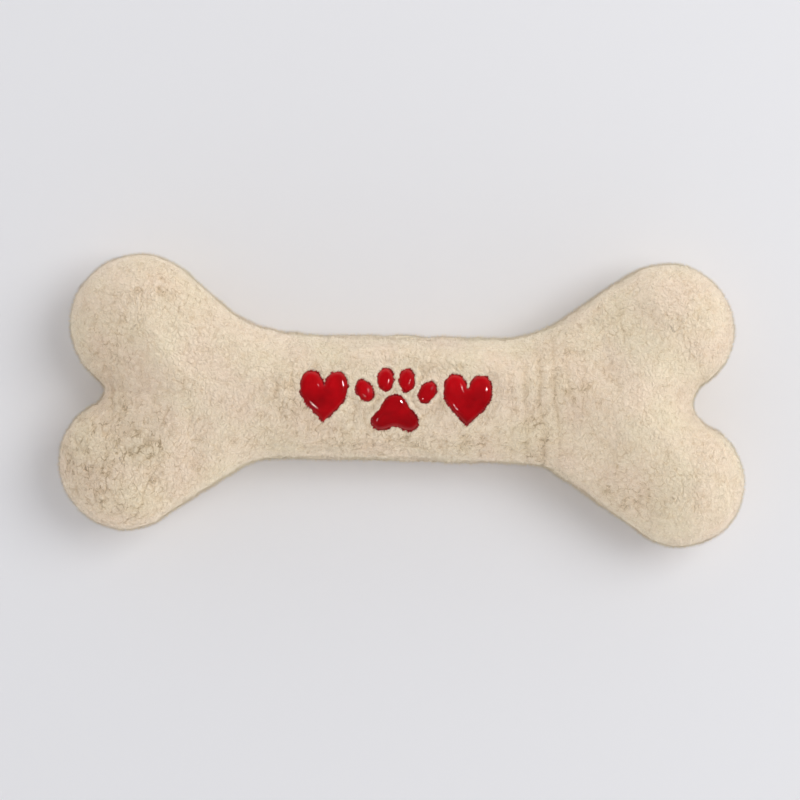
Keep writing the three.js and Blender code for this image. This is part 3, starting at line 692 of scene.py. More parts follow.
# %% The way of the fine shell's points
def through(values, wanted, wraps):
    """Values of rows 0, 1, 2... read at places between them, on the smooth cubic through each four rows."""
    row = np.floor(wanted).astype(int)
    t = (wanted - row)[:, None, None]
    a, b, c, d = (np.take(values, row + step, 0, mode="wrap" if wraps else "clip") for step in (-1, 0, 1, 2))
    return b + t * (c - a + t * (2 * a - 5 * b + 4 * c - d + t * (3 * (b - c) + d - a))) / 2


def swell(way, panel):
    """The way of every point in a panel's outer rows, seam first, from the net's."""
    rows = way[:NET_ROWS][::-1] if panel is FACE else way[NET_ROWS - 1 :]
    finer = through(rows, np.linspace(0, NET_ROWS - 1, OUTER_ROWS), False)
    columns = np.arange(len(EDGE)) / NET_STEP
    return through(finer.transpose(1, 0, 2), columns, True).transpose(1, 0, 2).reshape(-1, 3)


print("The face's points move up to", np.linalg.norm(swell(WAY, FACE), axis=1).max().round(2), "mm")

# %% [markdown]
# Sherpa fleece is a knitted cloth whose long pile has been tumbled until it curls up into tufts. Most of them
# have felted into one soft mass. Where the cloth is stretched or handled the mass parts again, and short
# dark cracks open round some of the tufts and curls, but never round all of them. A bump in the finish alone
# would leave the silhouette smooth, so this is real: every point of the outer wall is pushed in or out.

# %% Where the pile parts
PARTED = [
    {"at": (-140, -34), "reach": (36, 30), "share": 0.9},
    {"at": (-146, 22), "reach": (18, 22), "share": 0.45},
    {"at": (-120, 52), "reach": (22, 14), "share": 0.35},
    {"at": (-52, -8), "reach": (14, 24), "share": 0.45},
    {"at": (0, -24), "reach": (64, 10), "share": 0.7},
    {"at": (0, 0), "reach": (62, 24), "share": 0.25},
    {"at": (66, -20), "reach": (10, 14), "share": 0.9},
    {"at": (82, 6), "reach": (16, 26), "share": 0.45},
    {"at": (104, 40), "reach": (16, 14), "share": 0.25},
    {"at": (118, -46), "reach": (24, 15), "share": 0.4},
    {"at": (140, 34), "reach": (22, 22), "share": 0.15},
]
PARTED_EVERYWHERE = 0.38
PARTED_SPREAD = 0.15
PARTED_SIZE = 20


def in_patches(points, patches):
    """The strongest of some patches at each point: a share times e to the power of minus the square of the
    distance over the patch's reach."""
    strength = np.zeros(len(points))
    for patch in patches:
        offset = (points[:, :2] - patch["at"]) / patch["reach"]
        strength = np.maximum(strength, patch["share"] * np.exp(-(offset**2).sum(axis=1)))
    return strength


def parting(points):
    """How far the pile has parted, from 0 to 1: a little everywhere, more in the patches, by slow noise."""
    everywhere = PARTED_EVERYWHERE + PARTED_SPREAD * lumps(points, PARTED_SIZE, 41)
    return np.clip(everywhere + in_patches(points, PARTED), 0, 1)


FACE_RIDGE = wall(FACE, 0, math.pi / 2)
print("Along the ridge the pile has parted by", parting(FACE_RIDGE).mean().round(2), "on average")

# %% [markdown]
# The height is a sum. Each curl is a low dome, higher for some curls and where the pile has parted, and
# cracks cut in along the borders of curls and of tufts. Noise decides which stretch of a border is open. The
# strokes draw the cells narrow along the toy, since the cracks run mostly across it. Real curls are 2 to 3 mm
# across, and they gather into tufts of about 6 mm.

# %% The pile's height
TUFT_SIZE = 6
CURL_SIZE = 2.3
FIBRE_SIZE = 0.8
SWIRL_SIZE = 4
SWIRL_PUSH = 1.8
STROKES = (1.2, 0.85, 1)
CURL_HEIGHT = 0.3
CURL_SHOULDER = 0.6
FELTED_SHARE = 0.4
TUFT_CRACK = {"depth": 0.6, "width": 0.18, "stretch": 5, "shade": 0.36}
CURL_CRACK = {"depth": 0.25, "width": 0.4, "stretch": 3, "shade": 0.15}
OPEN_LEVEL = 0.3
OPEN_CONTRAST = 1.5
FIBRE_HEIGHT = 0.15
MEAN_HEIGHT = 0.1


def open_crack(points, inside, crack, salt):
    """1 along the open stretches of the borders between cells, and 0 elsewhere."""
    is_open = smooth(OPEN_LEVEL + OPEN_CONTRAST * lumps(points, crack["stretch"], salt))
    return (1 - smooth(inside / crack["width"])) * is_open


def pile(points):
    """How far the pile stands off the smooth wall, in mm, how much light gets down to it, from 0 in a crack
    to 1 at the tips, and how far it has parted."""
    parted = parting(points)
    swirled = points * STROKES + SWIRL_PUSH * lumps3(points, SWIRL_SIZE, 11)
    inside_tuft, _ = cells(swirled, TUFT_SIZE, 21)
    inside_curl, curl = cells(swirled, CURL_SIZE, 31)
    round_tuft = open_crack(points, inside_tuft, TUFT_CRACK, 61) * parted
    round_curl = open_crack(points, inside_curl, CURL_CRACK, 65) * parted
    loose = FELTED_SHARE + (1 - FELTED_SHARE) * parted
    dome = smooth(inside_curl / CURL_SHOULDER) * (0.5 + curl) * loose
    height = CURL_HEIGHT * dome - TUFT_CRACK["depth"] * round_tuft - CURL_CRACK["depth"] * round_curl
    height += FIBRE_HEIGHT * lumps(points, FIBRE_SIZE, 51) - MEAN_HEIGHT
    # painted shade: the open cracks lower the 'light' attribute, which darkens the fleece's colour
    shade = TUFT_CRACK["shade"] * round_tuft + CURL_CRACK["shade"] * round_curl
    return height, 1 - np.clip(shade, 0, 1), parted


ridge_pile, _, _ = pile(FACE_RIDGE)
print("Along the ridge the pile's height differs by", np.ptp(ridge_pile).round(2), "mm")

# %% [markdown]
# Under the pile the cloth itself isn't smooth either. The stuffing makes slow lumps, and where the shaft runs
# into a knob the cloth is gathered in short creases across the shaft, most of all by the lower right waist.

# %% Lumps and creases of the cloth
CREASE_PITCH = 7.6
CREASE_HEIGHT = 1.5
CREASE_SHIFT = 1.7
CREASE_BEND = 1.5
CREASE_BEND_SIZE = 14
CREASE_LEAN = 0.1
CREASE_SHARPNESS = 0.4
CREASE_BREAKS = 0.4
CREASE_BREAK_SIZE = 12
CREASED = [
    {"at": (66, -24), "reach": (14, 14), "share": 1.1},
    {"at": (69, 2), "reach": (15, 32), "share": 0.85},
    {"at": (-56, 2), "reach": (13, 22), "share": 0.5},
    {"at": (-146, -2), "reach": (8, 12), "share": 0.7},
]
BODY_LUMP_SIZE = 34
BODY_LUMP_HEIGHT = 0.8
CLOTH_LUMP_SIZE = 10
CLOTH_LUMP_HEIGHT = 0.35


def creases(points):
    """Sharp valleys across the shaft, from 0 to 1: one less |sin| to a power under one, along a line that is
    bent by slow noise, in patches, and shallower where a second noise is low."""
    bend = CREASE_BEND * lumps(points, CREASE_BEND_SIZE, 61)
    bent = points[:, 0] + CREASE_SHIFT + bend + CREASE_LEAN * points[:, 1]
    valley = 1 - np.abs(np.sin(np.pi * bent / CREASE_PITCH)) ** CREASE_SHARPNESS
    broken = 1 - CREASE_BREAKS + CREASE_BREAKS * smooth(0.5 + lumps(points, CREASE_BREAK_SIZE, 71))
    return valley * in_patches(points, CREASED) * broken


def body_lumps(points):
    """Slow lumps of the stuffing, and smaller ones of the cloth that lies over it."""
    stuffing = BODY_LUMP_HEIGHT * lumps(points, BODY_LUMP_SIZE, 81)
    return stuffing + CLOTH_LUMP_HEIGHT * lumps(points, CLOTH_LUMP_SIZE, 85)


deepest = (CREASE_HEIGHT * creases(FACE_RIDGE)).max()
print("The deepest crease along the ridge sinks", deepest.round(2), "mm")

# %% [markdown]
# The finest curls are thinner than the mesh's triangles, so the finish draws them: cells bent by noise, whose
# borders get a painted shade and sink where noise says that the pile is open, and larger cells for the long
# cracks between tufts. Both have the sizes of the real cloth's curls and tufts.

# %% Cracks along the borders of cells
FINE_CRACKS = {"size": 2.4, "width": 0.1, "patch": 2.6, "opening": (0.4, 0.58)}
LONG_CRACKS = {"size": 5.5, "width": 0.07, "patch": 4.0, "opening": (0.5, 0.58)}


def open_borders(tree, place, bent, size, width, patch, opening):
    """Cells of a size in mm. Gives how far a place is from its cell's border, in sizes, and a line that is 1
    on the border and 0 a width away. The line fades in over the opening, a span of a noise whose patches have
    their own size in mm."""
    cell = {"Vector": bent, "Scale": 1 / (size * MM)}
    border = add(tree, "ShaderNodeTexVoronoi", cell, feature="DISTANCE_TO_EDGE").outputs["Distance"]
    line = {"Value": border, "From Min": 0.0, "From Max": width, "To Min": 1.0, "To Max": 0.0}
    lines = add(tree, "ShaderNodeMapRange", line, interpolation_type="SMOOTHSTEP").outputs[0]
    noise = add(tree, "ShaderNodeTexNoise", {"Vector": place, "Scale": 1 / (patch * MM), "Detail": 1.0})
    chosen = {"Value": noise.outputs["Fac"], "From Min": opening[0], "From Max": opening[1]}
    opened = add(tree, "ShaderNodeMapRange", chosen, interpolation_type="SMOOTHSTEP").outputs[0]
    return border, add(tree, "ShaderNodeMath", {0: lines, 1: opened}, operation="MULTIPLY").outputs[0]


print("Fine cracks lie", FINE_CRACKS["size"], "mm apart and long ones", LONG_CRACKS["size"], "mm")

# %% [markdown]
# The fleece is brushed polyester, dull and pale: light goes in among the fibres and comes out soft. So it is
# rough, with a sheen that brightens slanting fibres. The attribute 'parted' says where the cracks show. The
# attribute 'light' is 0 deep in a crack of the mesh, 0.7 at the tips of the pile, and 1 at the toy's edge,
# where light comes through the pile from behind. The colour ramp turns it into three creams, so the cracks
# and creases get a painted shade and the edge a painted light. Slow noise tints whole patches a little.
# Single fibres are 0.02 mm thick, too fine to show, so the finest noise is drawn coarser.

# %% The fleece
FINE_SWIRL = 3.0
FINE_BEND = 2.6
LONG_STROKES = (1.3, 0.7, 1)
FINE_SHADE = 0.34
LONG_SHADE = 0.55
PARTED_SHADE = 0.09
FINE_DOME = 0.35
FINE_HEIGHT = 0.3
FIBRE_GRAIN = 0.55
FUZZ_HEIGHT = 0.18
TINT_SIZE = 24


def sherpa_fleece():
    """Brushed polyester pile: rough and soft, without any gloss."""
    material, tree, shader = finish("sherpa fleece", {
        "Roughness": 1.0,
        "Specular IOR Level": 0.1,
        "Sheen Weight": 1.0,
        "Sheen Roughness": 0.35,
        "Sheen Tint": "f4e9d8",
    })
    place = add(tree, "ShaderNodeTexCoord", {}).outputs["Object"]
    light = add(tree, "ShaderNodeAttribute", {}, attribute_name="light").outputs["Fac"]
    parted = add(tree, "ShaderNodeAttribute", {}, attribute_name="parted").outputs["Fac"]
    swirl = add(tree, "ShaderNodeTexNoise", {"Vector": place, "Scale": 1 / (FINE_SWIRL * MM), "Detail": 1.0})
    push = {0: swirl.outputs["Color"], 1: (FINE_BEND * MM,) * 3, 2: place}
    bent = add(tree, "ShaderNodeVectorMath", push, operation="MULTIPLY_ADD").outputs[0]
    border, curls = open_borders(tree, place, bent, **FINE_CRACKS)
    across = add(tree, "ShaderNodeMapping", {"Vector": bent, "Scale": LONG_STROKES}).outputs["Vector"]
    _, tufts = open_borders(tree, place, across, **LONG_CRACKS)
    # painted shade: the open borders of curls and tufts, and the parted pile, darken the cream as shade in
    # the cracks would
    faint = add(tree, "ShaderNodeMath", {0: curls, 1: FINE_SHADE}, operation="MULTIPLY").outputs[0]
    strong = add(tree, "ShaderNodeMath", {0: tufts, 1: LONG_SHADE}, operation="MULTIPLY").outputs[0]
    both = add(tree, "ShaderNodeMath", {0: faint, 1: strong}, operation="MAXIMUM").outputs[0]
    depth = add(tree, "ShaderNodeMath", {0: both, 1: parted}, operation="MULTIPLY").outputs[0]
    less = {0: parted, 1: -PARTED_SHADE, 2: light}
    dim = add(tree, "ShaderNodeMath", less, operation="MULTIPLY_ADD").outputs[0]
    lit = add(tree, "ShaderNodeMath", {0: dim, 1: depth}, operation="SUBTRACT", use_clamp=True).outputs[0]
    shades = [(0, "bda88c"), (0.35, "e9d3b6"), (0.7, "fbebd5"), (1, "fff4e0")]
    cream = add(tree, "ShaderNodeValToRGB", {"Fac": lit}, shades)
    slow = add(tree, "ShaderNodeTexNoise", {"Vector": place, "Scale": 1 / (TINT_SIZE * MM), "Detail": 1.0})
    tints = [(0.3, "fdfffa"), (0.7, "fffcfb")]
    patches = add(tree, "ShaderNodeValToRGB", {"Fac": slow.outputs["Fac"]}, tints)
    fine = add(tree, "ShaderNodeTexNoise", {"Vector": place, "Scale": 1 / (FIBRE_GRAIN * MM), "Detail": 3.0})
    greys = [(0.3, "f0eeec"), (0.7, "ffffff")]
    fibres = add(tree, "ShaderNodeValToRGB", {"Fac": fine.outputs["Fac"]}, greys)
    multiply = {"data_type": "RGBA", "blend_type": "MULTIPLY"}
    layers = {0: 1, 6: cream.outputs["Color"], 7: patches.outputs["Color"]}
    tinted = add(tree, "ShaderNodeMix", layers, **multiply)
    layers = {0: 1, 6: tinted.outputs[2], 7: fibres.outputs["Color"]}
    grained = add(tree, "ShaderNodeMix", layers, **multiply)
    grain = {"Height": fine.outputs["Fac"], "Distance": FUZZ_HEIGHT * MM}
    fuzz = add(tree, "ShaderNodeBump", grain).outputs["Normal"]
    dome = {"Value": border, "From Min": 0.0, "From Max": FINE_DOME}
    domes = add(tree, "ShaderNodeMapRange", dome, interpolation_type="SMOOTHSTEP").outputs[0]
    relief = {"Height": domes, "Distance": FINE_HEIGHT * MM, "Normal": fuzz}
    bump = add(tree, "ShaderNodeBump", relief)
    feed(tree, shader, {"Base Color": grained.outputs[2], "Normal": bump.outputs["Normal"]})
    return material


FLEECE = sherpa_fleece()
print(FLEECE.name, "has", len(FLEECE.node_tree.nodes), "nodes")

# %% [markdown]
# Inside the cover shows the flat side of the cloth, a plain knit.

# %% The knit backing
KNIT_SCALE = 20
KNIT_HEIGHT = 0.3


def knit_backing():
    """The fleece's knitted back, seen only inside: flat and dull, with rows of loops. Real loops are 1 mm
    apart, too fine to show, so they are drawn coarser: a wave repeats every 2π/20 of its scale, 6 mm here."""
    material, tree, shader = finish("knit backing", {"Roughness": 0.95, "Specular IOR Level": 0.15})
    place = add(tree, "ShaderNodeTexCoord", {}).outputs["Object"]
    wave = {"Vector": place, "Scale": 1 / (KNIT_SCALE * MM), "Distortion": 0.6}
    loops = add(tree, "ShaderNodeTexWave", wave)
    shades = add(tree, "ShaderNodeValToRGB", {"Fac": loops.outputs["Fac"]}, [(0, "cbb89c"), (1, "e4d6c0")])
    bump = add(tree, "ShaderNodeBump", {"Height": loops.outputs["Fac"], "Distance": KNIT_HEIGHT * MM})
    feed(tree, shader, {"Base Color": shades.outputs["Color"], "Normal": bump.outputs["Normal"]})
    return material


BACKING = knit_backing()
print(BACKING.name, "has", len(BACKING.node_tree.nodes), "nodes")

# %% [markdown]
# Single fibres escape from the tufts and blur the toy's edge. Each is a thorn of only four triangles, because
# there are so many: a thin three-sided pyramid whose base is sunk in the cloth. They start at chance places,
# evenly by area but denser by the seam, and are joined to the panel that they grow on. Real ones are 0.02 mm
# thick, too fine to show, so each stands for a few that cling together.

# %% Stray fibres
FIBRE_RADIUS = 0.06
FIBRE_LENGTHS = (0.8, 2.4)
FIBRE_LEANS = (0.1, 0.7)
ROOT_DEPTH = 0.15
FRINGE = 5
FRINGE_REACH = 4


def stray_fibres(points, faces, number, seed):
    """Thorns on chance triangles: a ring just under the surface, and a tip a length away along the outward
    direction plus a lean to one side. A triangle's chance is its area times one plus the fringe, which fades
    as e to the power of minus the square of the height over its reach."""
    draw_lots = np.random.default_rng(seed)
    a, b, c = (points[faces[:, k]] for k in range(3))
    across = np.cross(b - a, c - a)
    area = np.linalg.norm(across, axis=1)
    weight = area * (1 + FRINGE * np.exp(-((a[:, 2] / FRINGE_REACH) ** 2)))
    chosen = draw_lots.choice(len(faces), number, p=weight / weight.sum())
    u, v = np.sort(draw_lots.random((2, number, 1)), axis=0)
    out = across[chosen] / area[chosen, None]
    root = a[chosen] * u + b[chosen] * (v - u) + c[chosen] * (1 - v) - ROOT_DEPTH * out
    side = np.cross(out, draw_lots.normal(size=(number, 3)))
    side /= np.linalg.norm(side, axis=1, keepdims=True)
    along = out + draw_lots.uniform(*FIBRE_LEANS, (number, 1)) * side
    along /= np.linalg.norm(along, axis=1, keepdims=True)
    tip = root + draw_lots.uniform(*FIBRE_LENGTHS, (number, 1)) * along
    turn = 2 * np.pi * np.arange(3) / 3
    third = np.cross(out, side)
    ring = FIBRE_RADIUS * (np.cos(turn)[:, None] * side[:, None] + np.sin(turn)[:, None] * third[:, None])
    fibres = np.concatenate([root[:, None] + ring, tip[:, None]], axis=1)
    template = np.array([(0, 2, 1), (0, 1, 3), (1, 2, 3), (2, 0, 3)])
    numbers = 4 * np.arange(number)[:, None, None] + template
    return fibres.reshape(-1, 3), numbers.reshape(-1, 3)


sample, sample_faces = stray_fibres(face_points, face_faces, 4, 1)
print("Four stray fibres have", len(sample), "points and", len(sample_faces), "triangles")

# %% [markdown]
# The motifs on the face are a paw print between two hearts. The CAD model has them, so each one's box in the
# frame gives its place and size, and only its outline is drawn again: a heart and a pad as curves in shares
# of half their width and height, and a toe as a leaning ellipse. Each line of shares is a curve's two handles
# and its end, and the first is where the line starts.

# %% The motifs' outlines
MOTIF_STEPS = 30
MOTIF_SPACING = 0.5
HEART_SHARES = [
    (0, 0.5),
    (0.1, 0.9, 0.34, 1, 0.54, 1),
    (0.84, 1, 1, 0.72, 1, 0.34),
    (1, -0.2, 0.4, -0.6, 0, -1),
]
PAD_SHARES = [
    (0, 1),
    (0.5, 1, 0.52, 0.38, 0.8, 0.02),
    (1.2, -0.45, 0.96, -1.08, 0.5, -1),
    (0.26, -0.95, 0.2, -0.82, 0, -0.82),
]
TOE_LENGTH = 12.5
TOE_WIDTH = 9


def mirrored_curve(shares):
    """Cubic curves (1-t)³a + 3(1-t)²t b + 3(1-t)t² c + t³d down the right side, mirrored to the left."""
    t = np.arange(MOTIF_STEPS)[:, None] / MOTIF_STEPS
    start = np.array(shares[0], float)
    runs = []
    for numbers in shares[1:]:
        b, c, d = np.array(numbers, float).reshape(3, 2)
        runs.append((1 - t) ** 3 * start + 3 * (1 - t) ** 2 * t * b + 3 * (1 - t) * t**2 * c + t**3 * d)
        start = d
    right = np.concatenate([*runs, start[None]])
    left = right[-2:0:-1] * (-1, 1)
    return np.concatenate([right, left])[::-1]


def toe_curve(width, side):
    """An ellipse that leans to a side until its box is so wide. The box of an ellipse with half axes a and b
    has half the width √(a² cos² + b² sin²) of the lean, which gives the lean."""
    a, b = TOE_WIDTH / 2, TOE_LENGTH / 2
    lean = side * math.asin(math.sqrt(np.clip(((width / 2) ** 2 - a**2) / (b**2 - a**2), 0, 1)))
    turn = 2 * np.pi * np.arange(4 * MOTIF_STEPS) / (4 * MOTIF_STEPS)
    x, y = a * np.cos(turn), b * np.sin(turn)
    return np.stack([x * math.cos(lean) + y * math.sin(lean), y * math.cos(lean) - x * math.sin(lean)], 1)


def even_steps(path, spacing, closed=True):
    """The same line with its points at even distances along it, and those distances."""
    line = np.concatenate([path, path[:1]]) if closed else path
    travel = np.concatenate([[0], np.cumsum(np.linalg.norm(np.diff(line, axis=0), axis=1))])
    steps = round(travel[-1] / spacing)
    wanted = travel[-1] * np.arange(steps if closed else steps + 1) / steps
    return np.stack([np.interp(wanted, travel, line[:, axis]) for axis in range(line.shape[1])], 1), wanted


def motif(name):
    """A motif's outline in its place, anticlockwise, and its middle."""
    low, high = (np.array(corner)[:2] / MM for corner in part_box("patch_" + name))
    middle, size = (low + high) / 2, high - low
    if "toe" in name:
        loop = toe_curve(size[0], 1 if "right" in name else -1)
    else:
        loop = mirrored_curve(HEART_SHARES if "heart" in name else PAD_SHARES)
        loop = (loop - (loop.max(0) + loop.min(0)) / 2) * size / np.ptp(loop, axis=0)
    return {"loop": middle + even_steps(loop, MOTIF_SPACING)[0], "middle": middle}


MOTIF_NAMES = [name.removeprefix("patch_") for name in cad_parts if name.startswith("patch_")]
MOTIFS = {name: motif(name) for name in MOTIF_NAMES}
print("Points in each motif's outline:", {name: len(shape["loop"]) for name, shape in MOTIFS.items()})

# %% [markdown]
# The pile, the patches and the stitches all need to know how far a place is from a motif's edge. The nearest
# point of each side of the outline gives the distance, and a count of the sides that lie to the right of the
# place says whether it is inside.

# %% Distance from a motif's edge
MOTIF_MARGIN = 6
FAR_AWAY = 99.0


def past_edge(places, loop):
    """The distance in plan from each place to a closed line, in mm, below 0 inside it."""
    p = places[:, None, :2]
    a, b = loop[None], np.roll(loop, -1, 0)[None]
    share = np.clip(((p - a) * (b - a)).sum(2) / ((b - a) ** 2).sum(2), 0, 1)
    gap = np.linalg.norm(p - a - share[..., None] * (b - a), axis=2).min(axis=1)
    spans = (a[..., 1] > p[..., 1]) != (b[..., 1] > p[..., 1])
    rise = np.where(a[..., 1] == b[..., 1], 1, b[..., 1] - a[..., 1])
    meets = a[..., 0] + (p[..., 1] - a[..., 1]) / rise * (b[..., 0] - a[..., 0])
    inside = (spans & (p[..., 0] < meets)).sum(axis=1) % 2 == 1
    return np.where(inside, -gap, gap)


def past_motifs(points):
    """The distance past the nearest motif's edge, for points on the face, or a large number far away."""
    found = np.full(len(points), FAR_AWAY)
    for shape in MOTIFS.values():
        low, high = shape["loop"].min(0) - MOTIF_MARGIN, shape["loop"].max(0) + MOTIF_MARGIN
        near = np.where(((points[:, :2] > low) & (points[:, :2] < high)).all(axis=1) & (points[:, 2] > 0))[0]
        found[near] = np.minimum(found[near], past_edge(points[near], shape["loop"]))
    return found


PAD = MOTIFS["paw_pad"]
print("The pad's middle lies", -past_edge(PAD["middle"][None], PAD["loop"])[0].round(1), "mm from its edge")

# %% [markdown]
# All that makes the outer wall uneven comes together here: the pile, the lumps and the creases. At the seam
# the tufts of both panels meet and fill the groove. The light that comes through the pile from behind is a
# painted light that makes the toy's edge a paler cream, and the creases get a painted shade.

# %% The outer wall's relief and light
SEAM_PILE = 1.2
SEAM_REACH = 1.6
SEAM_SPREAD = 0.4
SEAM_TUFT = 3
SEAM_FILL = 1.0
SEAM_GROOVE = 0.35
EDGE_WAVE = 0.5
EDGE_TUFT = 4.5
EDGE_REACH = 9
CREASE_SHADE = 0.6
CREASE_START = 6
TIP_LIGHT = 0.7


def edge_light(points):
    """Painted light for the light that comes through the pile from behind, added to the 'light' attribute. It
    fades from the toy's edge as e to the power of minus the square of the height over a reach."""
    return (1 - TIP_LIGHT) * np.exp(-((points[:, 2] / EDGE_REACH) ** 2))


def dressed_wall(place, clear):
    """For points of the even outer wall: how far they stand off it with the pile, the lumps, the creases and
    the tufts by the seam, the light that they get, and how far their pile has parted."""
    height, light, parted = pile(place)
    creased = creases(place) * smooth(np.abs(place[:, 2]) / CREASE_START)
    uneven = 1 + SEAM_SPREAD * lumps(place, SEAM_TUFT, 131)
    tufts = SEAM_PILE * uneven * np.exp(-((place[:, 2] / SEAM_REACH) ** 2))
    tufts += SEAM_FILL * np.exp(-((place[:, 2] / SEAM_GROOVE) ** 2))
    tufts += EDGE_WAVE * lumps(place, EDGE_TUFT, 135) * np.exp(-((place[:, 2] / EDGE_REACH) ** 2))
    # painted shade in the creases and painted light at the toy's edge, both put into the 'light' attribute
    light = light * (TIP_LIGHT * (1 - CREASE_SHADE * creased)) + edge_light(place)
    return height + (body_lumps(place) * clear - CREASE_HEIGHT * creased + tufts), light, parted


ridge_height, _, _ = dressed_wall(FACE_RIDGE, np.ones(len(FACE_RIDGE)))
print("The face's ridge stands", ridge_height.max().round(2), "mm over the even shape at most")

# %% [markdown]
# Now a panel can be made. The simulation's way is added along the wall's outward direction, and then comes
# the relief. The way and the lumps fade out towards the patches, whose place is kept even. There the pile is
# pressed flat, and round it the tufts stand up a little and lap unevenly over the edge. Nothing goes past the
# seam or into the table. The lip where the panels touch is shaded flat, so that the light on the wall doesn't
# bend towards it.

# %% The two panels
PRESSED_PILE = -1.3
PRESSED_SLOPE = 1.1
CROWDED_PILE = 0.5
CROWDED_REACH = 2.2
LAP = 0.45
LAP_SPREAD = 0.6
LAP_SIZE = 1.7
FIBRES_PER_PANEL = 65000
FIBRE_FREE = 3
FIBRE_CLEAR = 0.5
TABLE_LEVEL = -SEAM_HEIGHT + 0.02


def dressed_panel(name, node, panel, seed):
    """The panel's shell with its pile and its stray fibres, fleece outside and knit inside."""
    points, faces, number = panel_shell(panel)
    outer = number >= 0
    height, light, parted = np.zeros(len(points)), np.ones(len(points)), np.zeros(len(points))
    edge = np.full(len(points), FAR_AWAY)
    place = points[outer]
    edge[outer] = past_motifs(place)
    clear = smooth(edge / MOTIF_MARGIN)
    even = facings(points, faces)[outer]
    stands_off = (swell(WAY, panel)[number[outer]] * even).sum(axis=1)
    points[outer] += (clear[outer] * stands_off)[:, None] * even
    out = facings(points, faces)
    height[outer], light[outer], parted[outer] = dressed_wall(place, clear[outer])
    lapped = edge + LAP + LAP_SPREAD * lumps(points, LAP_SIZE, 121)
    pressed = 1 - smooth(lapped / PRESSED_SLOPE + 0.5)
    crowded = CROWDED_PILE * np.exp(-((edge / CROWDED_REACH) ** 2))
    height = (height + crowded) * (1 - pressed) + PRESSED_PILE * pressed
    points = points + height[:, None] * out
    points[:, 2] = panel["up"] * np.maximum(panel["up"] * points[:, 2], SEAM_GAP)
    points[:, 2] = np.maximum(points[:, 2], TABLE_LEVEL)

    on_outer = outer[faces].all(axis=1)
    level = (np.abs(points[faces][..., 2]) < 2 * SEAM_GAP).all(axis=1) & ~on_outer
    first = faces[:, 0]
    rooted = on_outer & (points[first, 2] > TABLE_LEVEL + FIBRE_FREE) & (edge[first] > FIBRE_CLEAR)
    fibres, fibre_faces = stray_fibres(points, faces[rooted], FIBRES_PER_PANEL, seed)
    kinds = np.concatenate([np.where(on_outer, 0, 1), np.zeros(len(fibre_faces), int)])
    faces = np.concatenate([faces, fibre_faces + len(points)])
    flat = np.concatenate([level, np.zeros(len(fibre_faces), bool)])
    values = {
        "light": np.concatenate([light, TIP_LIGHT + edge_light(fibres)]),
        "parted": np.concatenate([parted, np.zeros(len(fibres))]),
    }
    points = np.concatenate([points, fibres])
    made = piece(name, points, faces, [FLEECE, BACKING], "fleece", [node], values, kinds, flat)
    return gives_way(made)


dressed_panel("front_cover", "front_panel", FACE, 3)
dressed_panel("back_cover", "back_panel", BACK, 4)

# %% [markdown]
# Patent cloth is a woven cloth with a thick glossy film on it. Under its zigzag stitches it is pulled down
# into the pile, so each patch is a little cushion with a scalloped edge and small puckers that run in from
# the stitches. Its film mirrors the lamps as small hard glints, and the rest of it is deep red.

# %% The patches' shape
PATCH_UNDER = -1.0
PATCH_EDGE = -0.1
PATCH_CROWN = 0.85
PATCH_SLOPE = 3.4
STITCH_PITCH = 1.4
STITCH_LINE = 0.6
GROOVE_DEPTH = 0.35
GROOVE_WIDTH = 0.55
PUCKER_HEIGHT = 0.14
PUCKER_REACH = 1.2
WAVE_HEIGHT = 0.16
WAVE_SIZE = 5
WAVE_START = 3
PATCH_ROWS = 26
SHAFT_HEIGHT = FACE["heights"][2]


def on_shaft(plan, offset):
    """Points over the shaft's crown. The crown is an ellipse across, z = h √(1 - (y/w)²), and the offset
    goes along its outward direction (0, y/w², z/h²)."""
    half_width = SHAFT_WIDTH / 2
    across = plan[:, 1] - SHAFT_AXIS
    height = SHAFT_HEIGHT * np.sqrt(1 - (across / half_width) ** 2)
    out = np.stack([np.zeros(len(plan)), across / half_width**2, height / SHAFT_HEIGHT**2], 1)
    out /= np.linalg.norm(out, axis=1, keepdims=True)
    return np.column_stack([plan, height]) + np.reshape(offset, (-1, 1)) * out


def patch_top(plan, loop):
    """How high the patch's face is over the crown: it rises smoothly from the edge, with a groove under the
    row of stitches, puckers of the stitches' pitch that fade inwards, and slow waves."""
    inset = np.maximum(-past_edge(plan, loop), 0)
    nearest = np.linalg.norm(plan[:, None] - loop[None], axis=2).argmin(axis=1)
    pucker = np.cos(2 * np.pi * nearest * MOTIF_SPACING / STITCH_PITCH) * np.exp(-inset / PUCKER_REACH)
    level = np.column_stack([plan, np.zeros(len(plan))])
    waves = lumps(level, WAVE_SIZE, 91) * smooth(inset / WAVE_START)
    groove = GROOVE_DEPTH * np.exp(-(((inset - STITCH_LINE) / GROOVE_WIDTH) ** 2))
    rise = PATCH_EDGE + (PATCH_CROWN - PATCH_EDGE) * smooth(inset / PATCH_SLOPE)
    return rise - groove + PUCKER_HEIGHT * pucker + WAVE_HEIGHT * waves


def patent_patch(name):
    """A closed cushion: rings of the outline drawn in to the motif's middle, underneath and on top."""
    loop, middle = MOTIFS[name]["loop"], MOTIFS[name]["middle"]
    shares = np.sin(np.linspace(0, np.pi / 2, PATCH_ROWS))
    under = [on_shaft(middle + share * (loop - middle), PATCH_UNDER) for share in shares]
    rings = [middle + share * (loop - middle) for share in shares[::-1]]
    top = [on_shaft(ring, patch_top(ring, loop)) for ring in rings]
    rows = [*under, *top]
    points, faces, _ = weld(np.concatenate(rows), grid_faces(len(rows), len(loop)))
    return points, faces


pad_height = patch_top(PAD["middle"][None], PAD["loop"])[0]
print("The pad's middle stands", pad_height.round(2), "mm over the shaft's smooth crown")

# %% [markdown]
# The thread is bright rayon, a little darker than the film. A satin zigzag runs round each edge: each leg
# starts in the pile just outside the patch and comes down through the film a millimetre or so inside, now a
# little more and now a little less.

